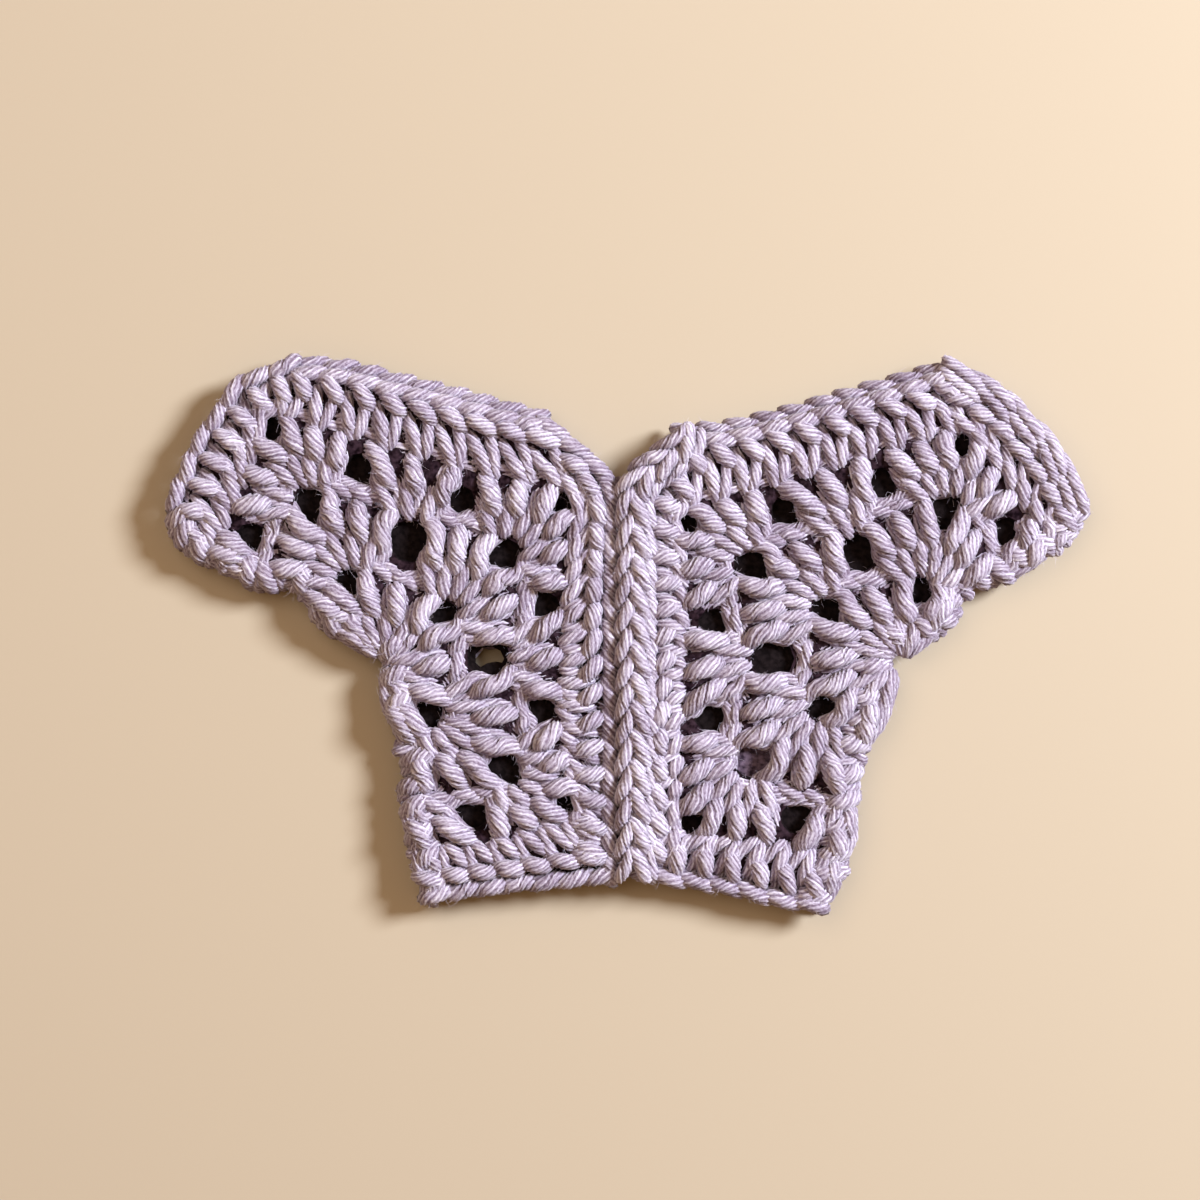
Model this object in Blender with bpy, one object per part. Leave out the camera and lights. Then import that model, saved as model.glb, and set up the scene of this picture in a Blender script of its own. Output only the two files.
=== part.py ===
"""Small crocheted hexagon cardigan, laid flat.

Each half is one granny hexagon folded into an L: a front layer, a back layer and a sleeve. Its
fold runs along the underside of the sleeve and down the side of the body. The frame has +X to the
wearer's left, +Y towards the neck and +Z up from the table. Tables are in millimetres.
"""

import math

import bmesh
import bpy
from mathutils import Vector
from mathutils.geometry import delaunay_2d_cdt

MM = 0.001

# The garment's box on the table is centred on the origin by this shift
SHIFT_X = 0.01
SHIFT_Y = -0.23

# Heights of the two layers. The back one lies flat on the table
BACK_TOP = 4.2
LAYER_GAP = 0.3
FRONT_LOW = BACK_TOP + LAYER_GAP
FRONT_BASE = FRONT_LOW + 2.6
SEAM_GAP = 0.3

# The upright strip round a panel ends here, and its rounded edge starts
RIM_HIGH = FRONT_LOW + 0.9
RIM_LOW = BACK_TOP - 0.9

# The seam along the top of a sleeve closes both layers
SEAM_LOW = 1.0
SEAM_HIGH = 7.6

# The tops of the front layer's edges. The left front's chain stands up along the opening
EDGE_TOP = {
    "right": {"cuff": 8.6, "hem": 8.2, "front": 7.9},
    "left": {"cuff": 10.2, "hem": 8.2, "front": 11.4},
}

# A chain edge's section: the share of the way in from its outer line, and up from its middle
STRIP_SECTION = (
    (0.0, 0.0),
    (0.08, 0.6),
    (0.35, 1.0),
    (0.65, 1.0),
    (0.92, 0.6),
    (1.0, 0.0),
    (0.85, -1.0),
    (0.15, -1.0),
)
BEAD_WAIST = 0.74

# Stitches: the width of a cluster's posts, and how far they stand above the wall
POST_FOOT_WIDE = 2.6
POST_HEAD_WIDE = 5.2
POST_FOOT_RISE = 0.9
POST_HEAD_RISE = 2.3
HALF_POST_WIDE = 4.4
HALF_POST_RISE = 1.7
HALF_POST_PITCH = 6.2
HALF_POST_START = 1.2
HALF_POST_END = 0.82
NECK_ROUND_ABOVE = 9.0
CHAIN_PITCH = 6.4
HEAD_AT = 0.68
RIM_STEP = 0.5
APEX_STEP = 2.0

# How finely the walls are drawn
EDGE_STEP = 3.2
HOLE_SIDES = 9
EDGE_ROUND = 1.9
HOLE_ROUND = 1.1
RING_STEPS = (0.55, 1.6)
POINT_GAP = 1.15
CLEAR_BY = 0.12
LONGEST_KNOT = 8
SPIKE_COSINE = 0.9
CLOSEST = 0.4
SLIVER_AREA = 2e-5
VALLEY_REACH = 9.0
POST_REACH = 20.0
STRAIGHT_CROSS = 0.35
NO_HOLE = 99.0
SHARP_ANGLE = 50.0
POST_STATIONS = (0.02, 0.26, 0.5, 0.74, 0.97)
VALLEY_STATIONS = (0.3, 0.55, 0.8, 1.05)
SIDE_STATIONS = (0.55, 0.95)
RING_MARGIN = 0.3
HOLE_RING = 0.7
CREST_MARGIN = 0.8

# Widths of the edges worked round each half, measured in from the outline
EDGE_WIDTH = {
    "right": {"fold": 0.0, "cuff": 2.8, "shoulder": 2.4, "neck": 3.0, "front": 3.0, "hem": 2.8},
    "left": {"fold": 0.0, "cuff": 5.0, "shoulder": 2.4, "neck": 6.2, "front": 6.7, "hem": 2.8},
}
BACK_EDGE_WIDTH = {
    "fold": 0.0, "cuff": 2.8, "shoulder": 2.4, "neck": 3.0, "front": 0.0, "hem": 2.8,
}

BACK_EDGE_NAME = {"cuff": "cuff_edge_back", "hem": "hem_edge_back", "neck": "back_neck_edge"}

# Outline of each half, from the shoulder point round by the cuff, the fold and the hem.
# Each row: what the edge is from this point on, x, y
OUTLINES = {
    "right": (
        ("shoulder", -17.3, 46.8),
        ("shoulder", -31.0, 50.4),
        ("shoulder", -43.6, 53.6),
        ("shoulder", -58.3, 57.3),
        ("cuff", -70.2, 58.6),
        ("cuff", -82.4, 53.6),
        ("cuff", -90.8, 41.8),
        ("fold", -97.5, 27.0),
        ("fold", -96.5, 20.8),
        ("fold", -91.5, 15.5),
        ("fold", -85.5, 13.0),
        ("fold", -78.0, 9.0),
        ("fold", -69.5, 8.8),
        ("fold", -67.6, 4.6),
        ("fold", -62.6, -0.4),
        ("fold", -53.6, -2.4),
        ("fold", -52.4, -8.0),
        ("fold", -50.6, -18.0),
        ("fold", -47.6, -23.2),
        ("fold", -48.6, -33.0),
        ("fold", -46.5, -45.2),
        ("hem", -42.6, -56.4),
        ("hem", -26.8, -54.2),
        ("hem", -14.2, -53.1),
        ("front", -1.95, -51.8),
        ("neck", -1.95, 30.6),
        ("neck", -4.2, 35.3),
        ("neck", -10.6, 40.9),
    ),
    "left": (
        ("shoulder", 10.2, 43.9),
        ("shoulder", 20.4, 44.6),
        ("shoulder", 32.0, 47.3),
        ("shoulder", 46.7, 51.5),
        ("shoulder", 57.2, 54.6),
        ("cuff", 67.6, 57.9),
        ("cuff", 79.1, 51.6),
        ("cuff", 89.4, 41.4),
        ("fold", 97.5, 27.6),
        ("fold", 95.9, 22.5),
        ("fold", 91.0, 17.6),
        ("fold", 79.1, 10.2),
        ("fold", 70.9, 8.6),
        ("fold", 69.8, 3.6),
        ("fold", 65.4, -0.8),
        ("fold", 57.6, -3.4),
        ("fold", 54.6, -9.5),
        ("fold", 53.3, -17.0),
        ("fold", 50.3, -25.0),
        ("fold", 48.6, -37.2),
        ("fold", 46.2, -49.4),
        ("hem", 41.0, -58.4),
        ("hem", 32.0, -57.1),
        ("hem", 19.4, -54.2),
        ("front", -1.25, -50.8),
        ("neck", -1.25, 30.6),
        ("neck", 2.8, 36.2),
        ("neck", 8.6, 40.6),
    ),
}

# The back layer's neck is a little higher at the centre than the fronts
BACK_NECK_Y = 33.2
BACK_SEAM_X = -1.6
BACK_SEAM_HALF = 1.0
HEM_Y = -50.9

# Spaces of each hexagon by name: x, y, width, height. A width of 0 marks a place on the fold
# where a round ends and no space shows. The digit is the round that the space belongs to.
SPACES = {
    "right": {
        "centre": (-51.3, -5.6, 0.0, 0.0),
        "sleeve1": (-58.1, 11.1, 4.4, 3.6),
        "neck1": (-38.7, 4.0, 4.2, 4.0),
        "hem1": (-41.7, -16.2, 4.2, 4.6),
        "cuff2": (-75.5, 11.6, 0.0, 0.0),
        "sleeve2": (-66.5, 27.3, 4.4, 5.8),
        "top2": (-45.9, 19.7, 5.6, 5.6),
        "neck2": (-25.9, 16.6, 4.8, 4.6),
        "front2": (-29.1, -5.0, 6.2, 5.2),
        "hem2": (-25.9, -27.9, 5.2, 5.0),
        "side2": (-46.0, -32.4, 0.0, 0.0),
        "cuff3": (-78.9, 20.0, 4.6, 4.2),
        "sleeve3": (-74.4, 43.3, 4.2, 5.4),
        "top3a": (-55.8, 34.7, 4.8, 4.2),
        "top3b": (-35.4, 28.1, 4.2, 4.2),
        "neck3": (-13.5, 27.5, 4.4, 4.4),
        "front3a": (-17.5, 5.7, 4.2, 4.2),
        "front3b": (-18.4, -15.3, 4.6, 4.2),
        "hem3": (-12.9, -35.1, 4.2, 4.2),
        "bottom3": (-33.1, -37.6, 5.2, 4.2),
    },
    "left": {
        "centre": (56.8, -5.8, 0.0, 0.0),
        "sleeve1": (61.6, 8.8, 4.2, 4.2),
        "neck1": (42.3, 5.3, 5.0, 4.2),
        "hem1": (40.8, -14.7, 4.2, 4.2),
        "cuff2": (78.0, 12.4, 0.0, 0.0),
        "sleeve2": (66.7, 25.6, 4.4, 5.2),
        "top2": (48.6, 17.2, 5.0, 5.2),
        "neck2": (26.4, 14.5, 5.6, 4.6),
        "front2": (30.3, -5.0, 6.4, 4.8),
        "hem2": (26.4, -26.3, 5.6, 5.0),
        "side2": (47.2, -33.4, 0.0, 0.0),
        "cuff3": (79.5, 21.2, 4.2, 4.4),
        "sleeve3": (70.2, 39.5, 4.2, 4.2),
        "top3a": (53.0, 31.7, 4.2, 4.2),
        "top3b": (33.5, 26.0, 4.2, 4.2),
        "neck3": (12.9, 23.5, 4.2, 4.2),
        "front3a": (18.2, 2.1, 4.4, 4.2),
        "front3b": (17.5, -17.0, 4.4, 4.2),
        "hem3": (13.5, -39.3, 4.8, 4.2),
        "bottom3": (35.6, -38.4, 4.2, 4.2),
    },
}

# Where the first and third rounds meet the folds of sleeve and side
FOLD_ENDS = {
    "right": {"sleeve_fold1": (-68.0, 7.2), "sleeve_fold3": (-88.0, 15.6),
              "side_fold1": (-48.6, -22.4), "side_fold3": (-45.6, -44.1)},
    "left": {"sleeve_fold1": (70.0, 7.2), "sleeve_fold3": (88.6, 16.6),
             "side_fold1": (51.0, -23.1), "side_fold3": (46.4, -46.2)},
}

# Clusters of the front layer: the space they are worked into, the two spaces that their tops
# lie between, and how many posts show
CLUSTERS = (
    ("centre", "sleeve_fold1", "sleeve1", 2),
    ("centre", "sleeve1", "neck1", 3),
    ("centre", "neck1", "hem1", 3),
    ("centre", "hem1", "side_fold1", 2),
    ("sleeve1", "cuff2", "sleeve2", 3),
    ("sleeve1", "sleeve2", "top2", 3),
    ("neck1", "top2", "neck2", 3),
    ("neck1", "neck2", "front2", 3),
    ("hem1", "front2", "hem2", 3),
    ("hem1", "hem2", "side2", 3),
    ("cuff2", "sleeve_fold3", "cuff3", 2),
    ("sleeve2", "cuff3", "sleeve3", 3),
    ("sleeve2", "sleeve3", "top3a", 3),
    ("top2", "top3a", "top3b", 3),
    ("neck2", "top3b", "neck3", 3),
    ("neck2", "neck3", "front3a", 3),
    ("front2", "front3a", "front3b", 3),
    ("hem2", "front3b", "hem3", 3),
    ("hem2", "hem3", "bottom3", 3),
    ("side2", "bottom3", "side_fold3", 2),
)

# The solid fourth round is worked side by side over these places of the third
LAST_ROUND = (
    ("cuff", ("sleeve_fold3", "cuff3", "sleeve3")),
    ("shoulder", ("sleeve3", "top3a", "top3b", "neck3")),
    ("front", ("neck3", "front3a", "front3b", "hem3")),
    ("hem", ("hem3", "bottom3", "side_fold3")),
)

YARN_COLOUR = (0.47, 0.39, 0.46, 1.0)
YARN_ROUGHNESS = 0.85


def clear_scene():
    for obj in list(bpy.data.objects):
        bpy.data.objects.remove(obj)


def yarn_material(name):
    material = bpy.data.materials.new(name + "_yarn")
    material.use_nodes = True
    shader = material.node_tree.nodes["Principled BSDF"]
    shader.inputs["Base Color"].default_value = YARN_COLOUR
    shader.inputs["Roughness"].default_value = YARN_ROUGHNESS
    shader.inputs["Metallic"].default_value = 0.0
    return material


def unit(v):
    return v / v.length if v.length > 1e-9 else Vector((0.0, 0.0))


def spline(before, start, end, after, t):
    """A point of the Catmull-Rom curve from start to end."""
    return 0.5 * (
        2.0 * start
        + (end - before) * t
        + (2.0 * before - 5.0 * start + 4.0 * end - after) * t * t
        + (3.0 * start - before - 3.0 * end + after) * t * t * t
    )


def outline_of(rows):
    """The closed outline as (kind, point), smooth within each kind of edge."""
    points = [Vector((x, y)) for _, x, y in rows]
    kinds = [kind for kind, _, _ in rows]
    count = len(rows)
    found = []
    for i in range(count):
        start = points[i]
        end = points[(i + 1) % count]
        before = points[i - 1] if kinds[i - 1] == kinds[i] else start
        after = points[(i + 2) % count] if kinds[(i + 1) % count] == kinds[i] else end
        steps = max(1, round((end - start).length / EDGE_STEP))
        for k in range(steps):
            found.append((kinds[i], spline(before, start, end, after, k / steps)))
    return found


def area_of(points):
    return 0.5 * sum(
        a.x * b.y - b.x * a.y for a, b in zip(points, points[1:] + points[:1], strict=True)
    )


def inset(outline, widths):
    """Each point of the outline moved in by the widths of the two edges that meet there."""
    turn = 1.0 if area_of([p for _, p in outline]) > 0 else -1.0
    count = len(outline)
    moved = []
    for i in range(count):
        kind_in, before = outline[i - 1]
        kind_out, here = outline[i]
        after = outline[(i + 1) % count][1]
        a = unit(here - before)
        b = unit(after - here)
        normal_a = Vector((-a.y, a.x)) * turn
        normal_b = Vector((-b.y, b.x)) * turn
        width_a = widths[kind_in]
        width_b = widths[kind_out]
        cross = normal_a.x * normal_b.y - normal_a.y * normal_b.x
        if abs(cross) < STRAIGHT_CROSS:
            middle = unit(normal_a + normal_b)
            step = middle * (width_a + width_b) / 2.0
        else:
            step = Vector((
                (width_a * normal_b.y - width_b * normal_a.y) / cross,
                (width_b * normal_a.x - width_a * normal_b.x) / cross,
            ))
        moved.append((kind_out, here + step))
    loop = uncrossed([m for m in moved if is_clear(m[1], outline, widths)])
    return [m for i, m in enumerate(loop) if (m[1] - loop[i - 1][1]).length > CLOSEST]


def crossing(a, b, c, d):
    """Where the line from a to b crosses the one from c to d, or None."""
    first = b - a
    second = d - c
    cross = first.x * second.y - first.y * second.x
    if abs(cross) < 1e-9:
        return None
    gap = c - a
    t = (gap.x * second.y - gap.y * second.x) / cross
    u = (gap.x * first.y - gap.y * first.x) / cross
    return a + first * t if 0.0 <= t <= 1.0 and 0.0 <= u <= 1.0 else None


def uncrossed(loop):
    """The loop without spikes, and with each small knot replaced by the point where it crosses."""
    count = len(loop)
    for i in range(count):
        back = loop[i][1] - loop[i - 1][1]
        on = loop[(i + 1) % count][1] - loop[i][1]
        if back.dot(on) < -SPIKE_COSINE * back.length * on.length:
            return uncrossed(loop[:i] + loop[i + 1:])
        for ahead in range(2, LONGEST_KNOT):
            j = (i + ahead) % count
            at = crossing(loop[i][1], loop[(i + 1) % count][1], loop[j][1], loop[(j + 1) % count][1])
            if at is not None:
                knot = {(i + k) % count for k in range(1, ahead + 1)}
                kept = [m for k, m in enumerate(loop) if k not in knot]
                kept.insert(kept.index(loop[i]) + 1, (loop[j][0], at))
                return uncrossed(kept)
    return loop


def is_clear(p, outline, widths):
    """Whether a moved point keeps its distance to every edge, which one past a corner doesn't."""
    return all(
        distance_to_line(p, a, b)[0] >= widths[kind] - CLEAR_BY
        for (kind, a), (_, b) in zip(outline, outline[1:] + outline[:1], strict=True)
    )


def distance_to_line(p, a, b):
    along = b - a
    t = max(0.0, min(1.0, (p - a).dot(along) / max(along.length_squared, 1e-12)))
    return (p - a - along * t).length, t


def distance_to_loop(p, loop):
    return min(
        distance_to_line(p, a, b)[0] for a, b in zip(loop, loop[1:] + loop[:1], strict=True)
    )


def is_inside(p, loop):
    inside = False
    for a, b in zip(loop, loop[1:] + loop[:1], strict=True):
        if (a.y > p.y) != (b.y > p.y) and p.x < a.x + (b.x - a.x) * (p.y - a.y) / (b.y - a.y):
            inside = not inside
    return inside


def hole_loop(x, y, wide, high, grow=0.0):
    return [
        Vector((
            x + (wide / 2.0 + grow) * math.cos(2.0 * math.pi * k / HOLE_SIDES),
            y + (high / 2.0 + grow) * math.sin(2.0 * math.pi * k / HOLE_SIDES),
        ))
        for k in range(HOLE_SIDES)
    ]


def place(side, name):
    if name in SPACES[side]:
        return Vector(SPACES[side][name][:2])
    return Vector(FOLD_ENDS[side][name])


def radius(side, name):
    if name in SPACES[side]:
        return (SPACES[side][name][2] + SPACES[side][name][3]) / 4.0
    return 0.0


def round_top(side, name):
    """Where the tops of the posts beside a space lie: a little way out from the centre."""
    here = place(side, name)
    if name in FOLD_ENDS[side]:
        return here
    return here + unit(here - place(side, "centre")) * APEX_STEP


def cluster_posts(side):
    """The posts of the three granny rounds as (foot, head)."""
    posts = []
    for base, start, end, count in CLUSTERS:
        a = round_top(side, start)
        b = round_top(side, end)
        hub = place(side, base)
        clear_a = radius(side, start) + POST_HEAD_WIDE / 2.0
        clear_b = radius(side, end) + POST_HEAD_WIDE / 2.0
        long = (b - a).length
        for k in range(count):
            share = k / (count - 1)
            head = a + (b - a) * (clear_a + (long - clear_a - clear_b) * share) / long
            foot = hub + unit(head - hub) * (radius(side, base) + RIM_STEP)
            posts.append((foot, head))
    return posts


def along(points, share):
    """The point at a share of the length of an open line."""
    lengths = [(b - a).length for a, b in zip(points, points[1:])]
    left = share * sum(lengths)
    for k, long in enumerate(lengths):
        if left <= long or k == len(lengths) - 1:
            return points[k] + (points[k + 1] - points[k]) * min(1.0, left / long)
        left -= long
    return points[-1]


def edge_line(outline, kinds):
    """The run of outline points whose edges are of these kinds, with the point that ends it."""
    count = len(outline)
    inside = [kind in kinds for kind, _ in outline]
    first = next(i for i in range(count) if inside[i] and not inside[i - 1])
    line = []
    i = first
    while inside[i % count]:
        line.append(outline[i % count][1])
        i += 1
    line.append(outline[i % count][1])
    return line


def last_round_posts(side, panel):
    """The short posts of the solid round, from the third round out to the panel's edge."""
    posts = []
    for kind, names in LAST_ROUND:
        inner = [round_top(side, name) for name in names]
        outer = edge_line(panel, (kind,))
        if kind == "front":
            top_y = round_top(side, "neck3").y + NECK_ROUND_ABOVE
            outer = [p for p in edge_line(panel, ("front", "neck")) if p.y < top_y]
        if (outer[0] - inner[0]).length > (outer[-1] - inner[0]).length:
            outer = outer[::-1]
        long = sum((b - a).length for a, b in zip(outer, outer[1:]))
        count = round(long / HALF_POST_PITCH)
        for k in range(count):
            share = (k + 0.5) / count
            foot = along(inner, share)
            head = along(outer, share)
            reach = head - foot
            posts.append((foot + unit(reach) * HALF_POST_START, foot + reach * HALF_POST_END))
    return posts


def crown(p, posts, foot_wide, head_wide, foot_rise, head_rise):
    """How far the nearest posts stand above the wall at a point."""
    best = 0.0
    for foot, head in posts:
        if (p - foot).length > POST_REACH:
            continue
        away, t = distance_to_line(p, foot, head)
        swell = min(1.0, t / HEAD_AT)
        half = (foot_wide + (head_wide - foot_wide) * swell) / 2.0
        rise = foot_rise + (head_rise - foot_rise) * swell
        if away < half:
            best = max(best, rise * math.sqrt(1.0 - (away / half) ** 2))
    return best


def add_points(found, extra, loop, holes, margin):
    """Adds the points that are clear of the border and of those found, and gives their places."""
    places = []
    for p in extra:
        clear = (
            all((p - q).length >= POINT_GAP for q in found)
            and is_inside(p, loop)
            and distance_to_loop(p, loop) >= margin
            and not any(is_inside(p, h) or distance_to_loop(p, h) < margin for h in holes)
        )
        if clear:
            found.append(p)
        places.append(len(found) - 1 if clear else None)
    return places


def add_line(found, extra, loop, holes):
    """Adds the points of a line, and gives the pairs of places that it joins."""
    places = add_points(found, extra, loop, holes, CREST_MARGIN)
    return [(a, b) for a, b in zip(places, places[1:]) if a is not None and b is not None]


def sheet(loop, holes, free, ridges):
    """Triangles over the loop less its holes, through the free points and along the ridges.

    It gives the points, the places among them of the border's points in order, and the faces.
    """
    verts = list(loop)
    edges = [(i, (i + 1) % len(loop)) for i in range(len(loop))]
    for h in holes:
        first = len(verts)
        verts += h
        edges += [(first + i, first + (i + 1) % len(h)) for i in range(len(h))]
    border = len(verts)
    verts += free
    edges += [(border + i, border + j) for i, j in ridges]
    out, _, faces, origin, _, _ = delaunay_2d_cdt(verts, edges, [], 0, 1e-5)
    index = {}
    for i, sources in enumerate(origin):
        index.update(dict.fromkeys(sources, i))
    places = [index[i] for i in range(border)]
    kept = []
    for face in faces:
        middle = sum((out[i] for i in face), Vector((0.0, 0.0))) / 3.0
        if abs(area_of([out[i] for i in face])) < SLIVER_AREA:
            continue
        if is_inside(middle, loop) and not any(is_inside(middle, h) for h in holes):
            kept.append(list(face))
    return out, places, kept


def rings(loop, steps):
    """Points of the loop moved in by each step, as free points."""
    outline = [("edge", p) for p in loop]
    return [p for step in steps for _, p in inset(outline, {"edge": step})]


def rounded(away, reach):
    """0 at an edge, 1 from reach inwards, along a quarter circle."""
    t = min(1.0, away / reach)
    return math.sqrt(1.0 - (1.0 - t) ** 2)


def new_object(name, points, faces):
    mesh = bpy.data.meshes.new(name)
    mesh.from_pydata([(x * MM, y * MM, z * MM) for x, y, z in points], [], faces)
    work = bmesh.new()
    work.from_mesh(mesh)
    bmesh.ops.recalc_face_normals(work, faces=work.faces)
    work.to_mesh(mesh)
    work.free()
    mesh.shade_smooth()
    mesh.set_sharp_from_angle(angle=math.radians(SHARP_ANGLE))
    mesh.materials.append(yarn_material(name))
    obj = bpy.data.objects.new(name, mesh)
    bpy.context.scene.collection.objects.link(obj)
    obj.location = (SHIFT_X * MM, SHIFT_Y * MM, 0.0)
    return obj


def wall(name, loop, holes, sides, upper, lower):
    """A closed wall over a loop with holes.

    sides gives the lowest and highest z of the upright strip round the loop, and of the one round
    each hole. upper and lower are (free points, ridges, height) for the two faces, where height
    takes a point and how far it is from the loop and from the nearest hole.
    """
    points = []
    faces = []
    borders = []
    for free, ridges, height, level in ((*upper, 1), (*lower, 0)):
        verts, places, kept = sheet(loop, holes, free, ridges)
        first = len(points)
        borders.append([first + i for i in places])
        rank = {i: k for k, i in enumerate(places)}
        for i, p in enumerate(verts):
            if i in rank:
                z = sides[0 if rank[i] < len(loop) else 1][level]
            else:
                hole = min((distance_to_loop(p, h) for h in holes), default=NO_HOLE)
                z = height(p, distance_to_loop(p, loop), hole)
            points.append((p.x, p.y, z))
        faces += [[first + i for i in (f if level else f[::-1])] for f in kept]
    top, low = borders
    start = 0
    for ring in (loop, *holes):
        for i in range(len(ring)):
            a = start + i
            b = start + (i + 1) % len(ring)
            faces.append((top[a], top[b], low[b], low[a]))
        start += len(ring)
    return new_object(name, points, faces)


def panel_of(outline, widths):
    """The panel's outline, inside the edges worked round it."""
    return inset(outline, {k: w + (SEAM_GAP if w else 0.0) for k, w in widths.items()})


def front_panel(side, outline):
    """The front layer: posts, clusters and the solid round raised over a plain inside."""
    panel = panel_of(outline, EDGE_WIDTH[side])
    loop = [p for _, p in panel]
    spaces = [row for row in SPACES[side].values() if row[2] > 0.0]
    holes = [hole_loop(*row) for row in spaces]
    clusters = cluster_posts(side)
    solid_round = last_round_posts(side, panel)
    free = []
    ridges = []
    add_points(free, rings(loop, RING_STEPS), loop, holes, RING_MARGIN)
    for row in spaces:
        add_points(free, hole_loop(*row, grow=HOLE_RING), loop, holes, RING_MARGIN)
    for posts in (clusters, solid_round):
        for foot, head in posts:
            crest = [foot + (head - foot) * t for t in POST_STATIONS]
            ridges += add_line(free, crest, loop, holes)
    for posts in (clusters, solid_round):
        for (foot_a, head_a), (foot_b, head_b) in zip(posts, posts[1:]):
            if (head_a - head_b).length < VALLEY_REACH:
                low = (foot_a + foot_b) / 2.0
                high = (head_a + head_b) / 2.0
                valley = [low + (high - low) * t for t in VALLEY_STATIONS]
                ridges += add_line(free, valley, loop, holes)
        for foot, head in posts:
            across = unit(head - foot).orthogonal() * (POST_HEAD_WIDE / 2.0)
            for way in (-1.0, 1.0):
                beside = [foot + (head - foot) * t + across * way for t in SIDE_STATIONS]
                ridges += add_line(free, beside, loop, holes)

    def top(p, edge, hole):
        rise = max(
            crown(p, clusters, POST_FOOT_WIDE, POST_HEAD_WIDE, POST_FOOT_RISE, POST_HEAD_RISE),
            crown(p, solid_round, HALF_POST_WIDE, HALF_POST_WIDE, HALF_POST_RISE, HALF_POST_RISE),
        )
        full = FRONT_BASE + rise - RIM_HIGH
        return RIM_HIGH + full * min(rounded(edge, EDGE_ROUND), rounded(hole, HOLE_ROUND))

    def inside(p, edge, hole):
        return FRONT_LOW

    sides = ((FRONT_LOW, RIM_HIGH), (FRONT_LOW, RIM_HIGH))
    return wall(side + "_front", loop, holes, sides, (free, ridges, top), ([], [], inside))


def back_outline(side):
    """The back layer's outline, with its own neck point and the seam down its centre."""
    out = 1.0 if side == "left" else -1.0
    seam_x = BACK_SEAM_X + out * (BACK_SEAM_HALF + SEAM_GAP)
    rows = []
    for kind, x, y in OUTLINES[side]:
        if kind == "front":
            rows.append((kind, seam_x, y))
        elif kind == "neck" and rows[-1][0] == "front":
            rows.append((kind, seam_x, BACK_NECK_Y))
        else:
            rows.append((kind, x, y))
    return outline_of(rows)


def back_panel(side):
    """The back layer, flat on the table, with its outer edge turned up to the fold."""
    panel = panel_of(back_outline(side), BACK_EDGE_WIDTH)
    loop = [p for _, p in panel]
    holes = [hole_loop(*row) for row in SPACES[side].values() if row[2] > 0.0]
    under = []
    add_points(under, rings(loop, RING_STEPS), loop, holes, RING_MARGIN)

    def top(p, edge, hole):
        return BACK_TOP

    def bottom(p, edge, hole):
        return RIM_LOW * (1.0 - rounded(edge, EDGE_ROUND))

    sides = ((RIM_LOW, BACK_TOP), (0.0, BACK_TOP))
    return wall(side + "_back", loop, holes, sides, ([], [], top), (under, [], bottom))


def line_length(line):
    return sum((b - a).length for a, b in zip(line, line[1:]))


def edge_strip(name, outer, inner, low, high):
    """A rope of chain stitches between two lines, as a loft of eight-sided rings.

    Each ring runs from the outer line to the inner one, and every other ring is fuller, one to
    a stitch.
    """
    count = max(2, round(line_length(outer) / (CHAIN_PITCH / 2.0)))
    points = []
    for k in range(count + 1):
        a = along(outer, k / count)
        b = along(inner, k / count)
        full = 1.0 if k % 2 else BEAD_WAIST
        middle = (low + high) / 2.0
        for share, up in STRIP_SECTION:
            p = a + (b - a) * (0.5 + (share - 0.5) * full)
            z = middle + (high - low) / 2.0 * up * (full if up > 0.0 else 1.0)
            points.append((p.x, p.y, z))
    sides = len(STRIP_SECTION)
    faces = [list(range(sides)), list(range(count * sides, (count + 1) * sides))]
    for k in range(count):
        for i in range(sides):
            j = (i + 1) % sides
            faces.append((k * sides + i, k * sides + j, (k + 1) * sides + j, (k + 1) * sides + i))
    return new_object(name, points, faces)


def edge_lines(outline, widths, kinds, stop_at=()):
    """The outer and inner line of the edge of these kinds, short of the edges in stop_at."""
    others = {k: (w + SEAM_GAP if k in stop_at else 0.0) for k, w in widths.items()}
    outer = edge_line(inset(outline, {**others, **dict.fromkeys(kinds, 0.0)}), kinds)
    inner = edge_line(inset(outline, {**others, **{k: widths[k] for k in kinds}}), kinds)
    return outer, inner


def edges(side, outline):
    """The chain edges of both layers, and the seam along the top of the sleeve."""
    widths = EDGE_WIDTH[side]
    tops = EDGE_TOP[side]
    behind = back_outline(side)
    lines = edge_lines(outline, widths, ("cuff",))
    edge_strip(side + "_cuff_edge_front", *lines, FRONT_LOW, tops["cuff"])
    lines = edge_lines(outline, widths, ("hem",), ("front",))
    edge_strip(side + "_hem_edge_front", *lines, FRONT_LOW, tops["hem"])
    lines = edge_lines(outline, widths, ("front", "neck"))
    edge_strip(side + "_front_band", *lines, FRONT_LOW, tops["front"])
    for kind, name in BACK_EDGE_NAME.items():
        lines = edge_lines(behind, BACK_EDGE_WIDTH, (kind,))
        edge_strip(f"{side}_{name}", *lines, 0.0, BACK_TOP)
    lines = edge_lines(outline, widths, ("shoulder",), ("neck", "cuff"))
    edge_strip(side + "_shoulder_seam", *lines, SEAM_LOW, SEAM_HIGH)


def back_seam():
    """The seam that joins the two back layers down their middle."""
    lines = []
    for out in (-BACK_SEAM_HALF, BACK_SEAM_HALF):
        x = BACK_SEAM_X + out
        lines.append([Vector((x, BACK_NECK_Y)), Vector((x, HEM_Y))])
    edge_strip("back_seam", *lines, 0.0, BACK_TOP)


def main():
    clear_scene()
    for side in ("right", "left"):
        outline = outline_of(OUTLINES[side])
        front_panel(side, outline)
        back_panel(side)
        edges(side, outline)
    back_seam()


main()
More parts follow.
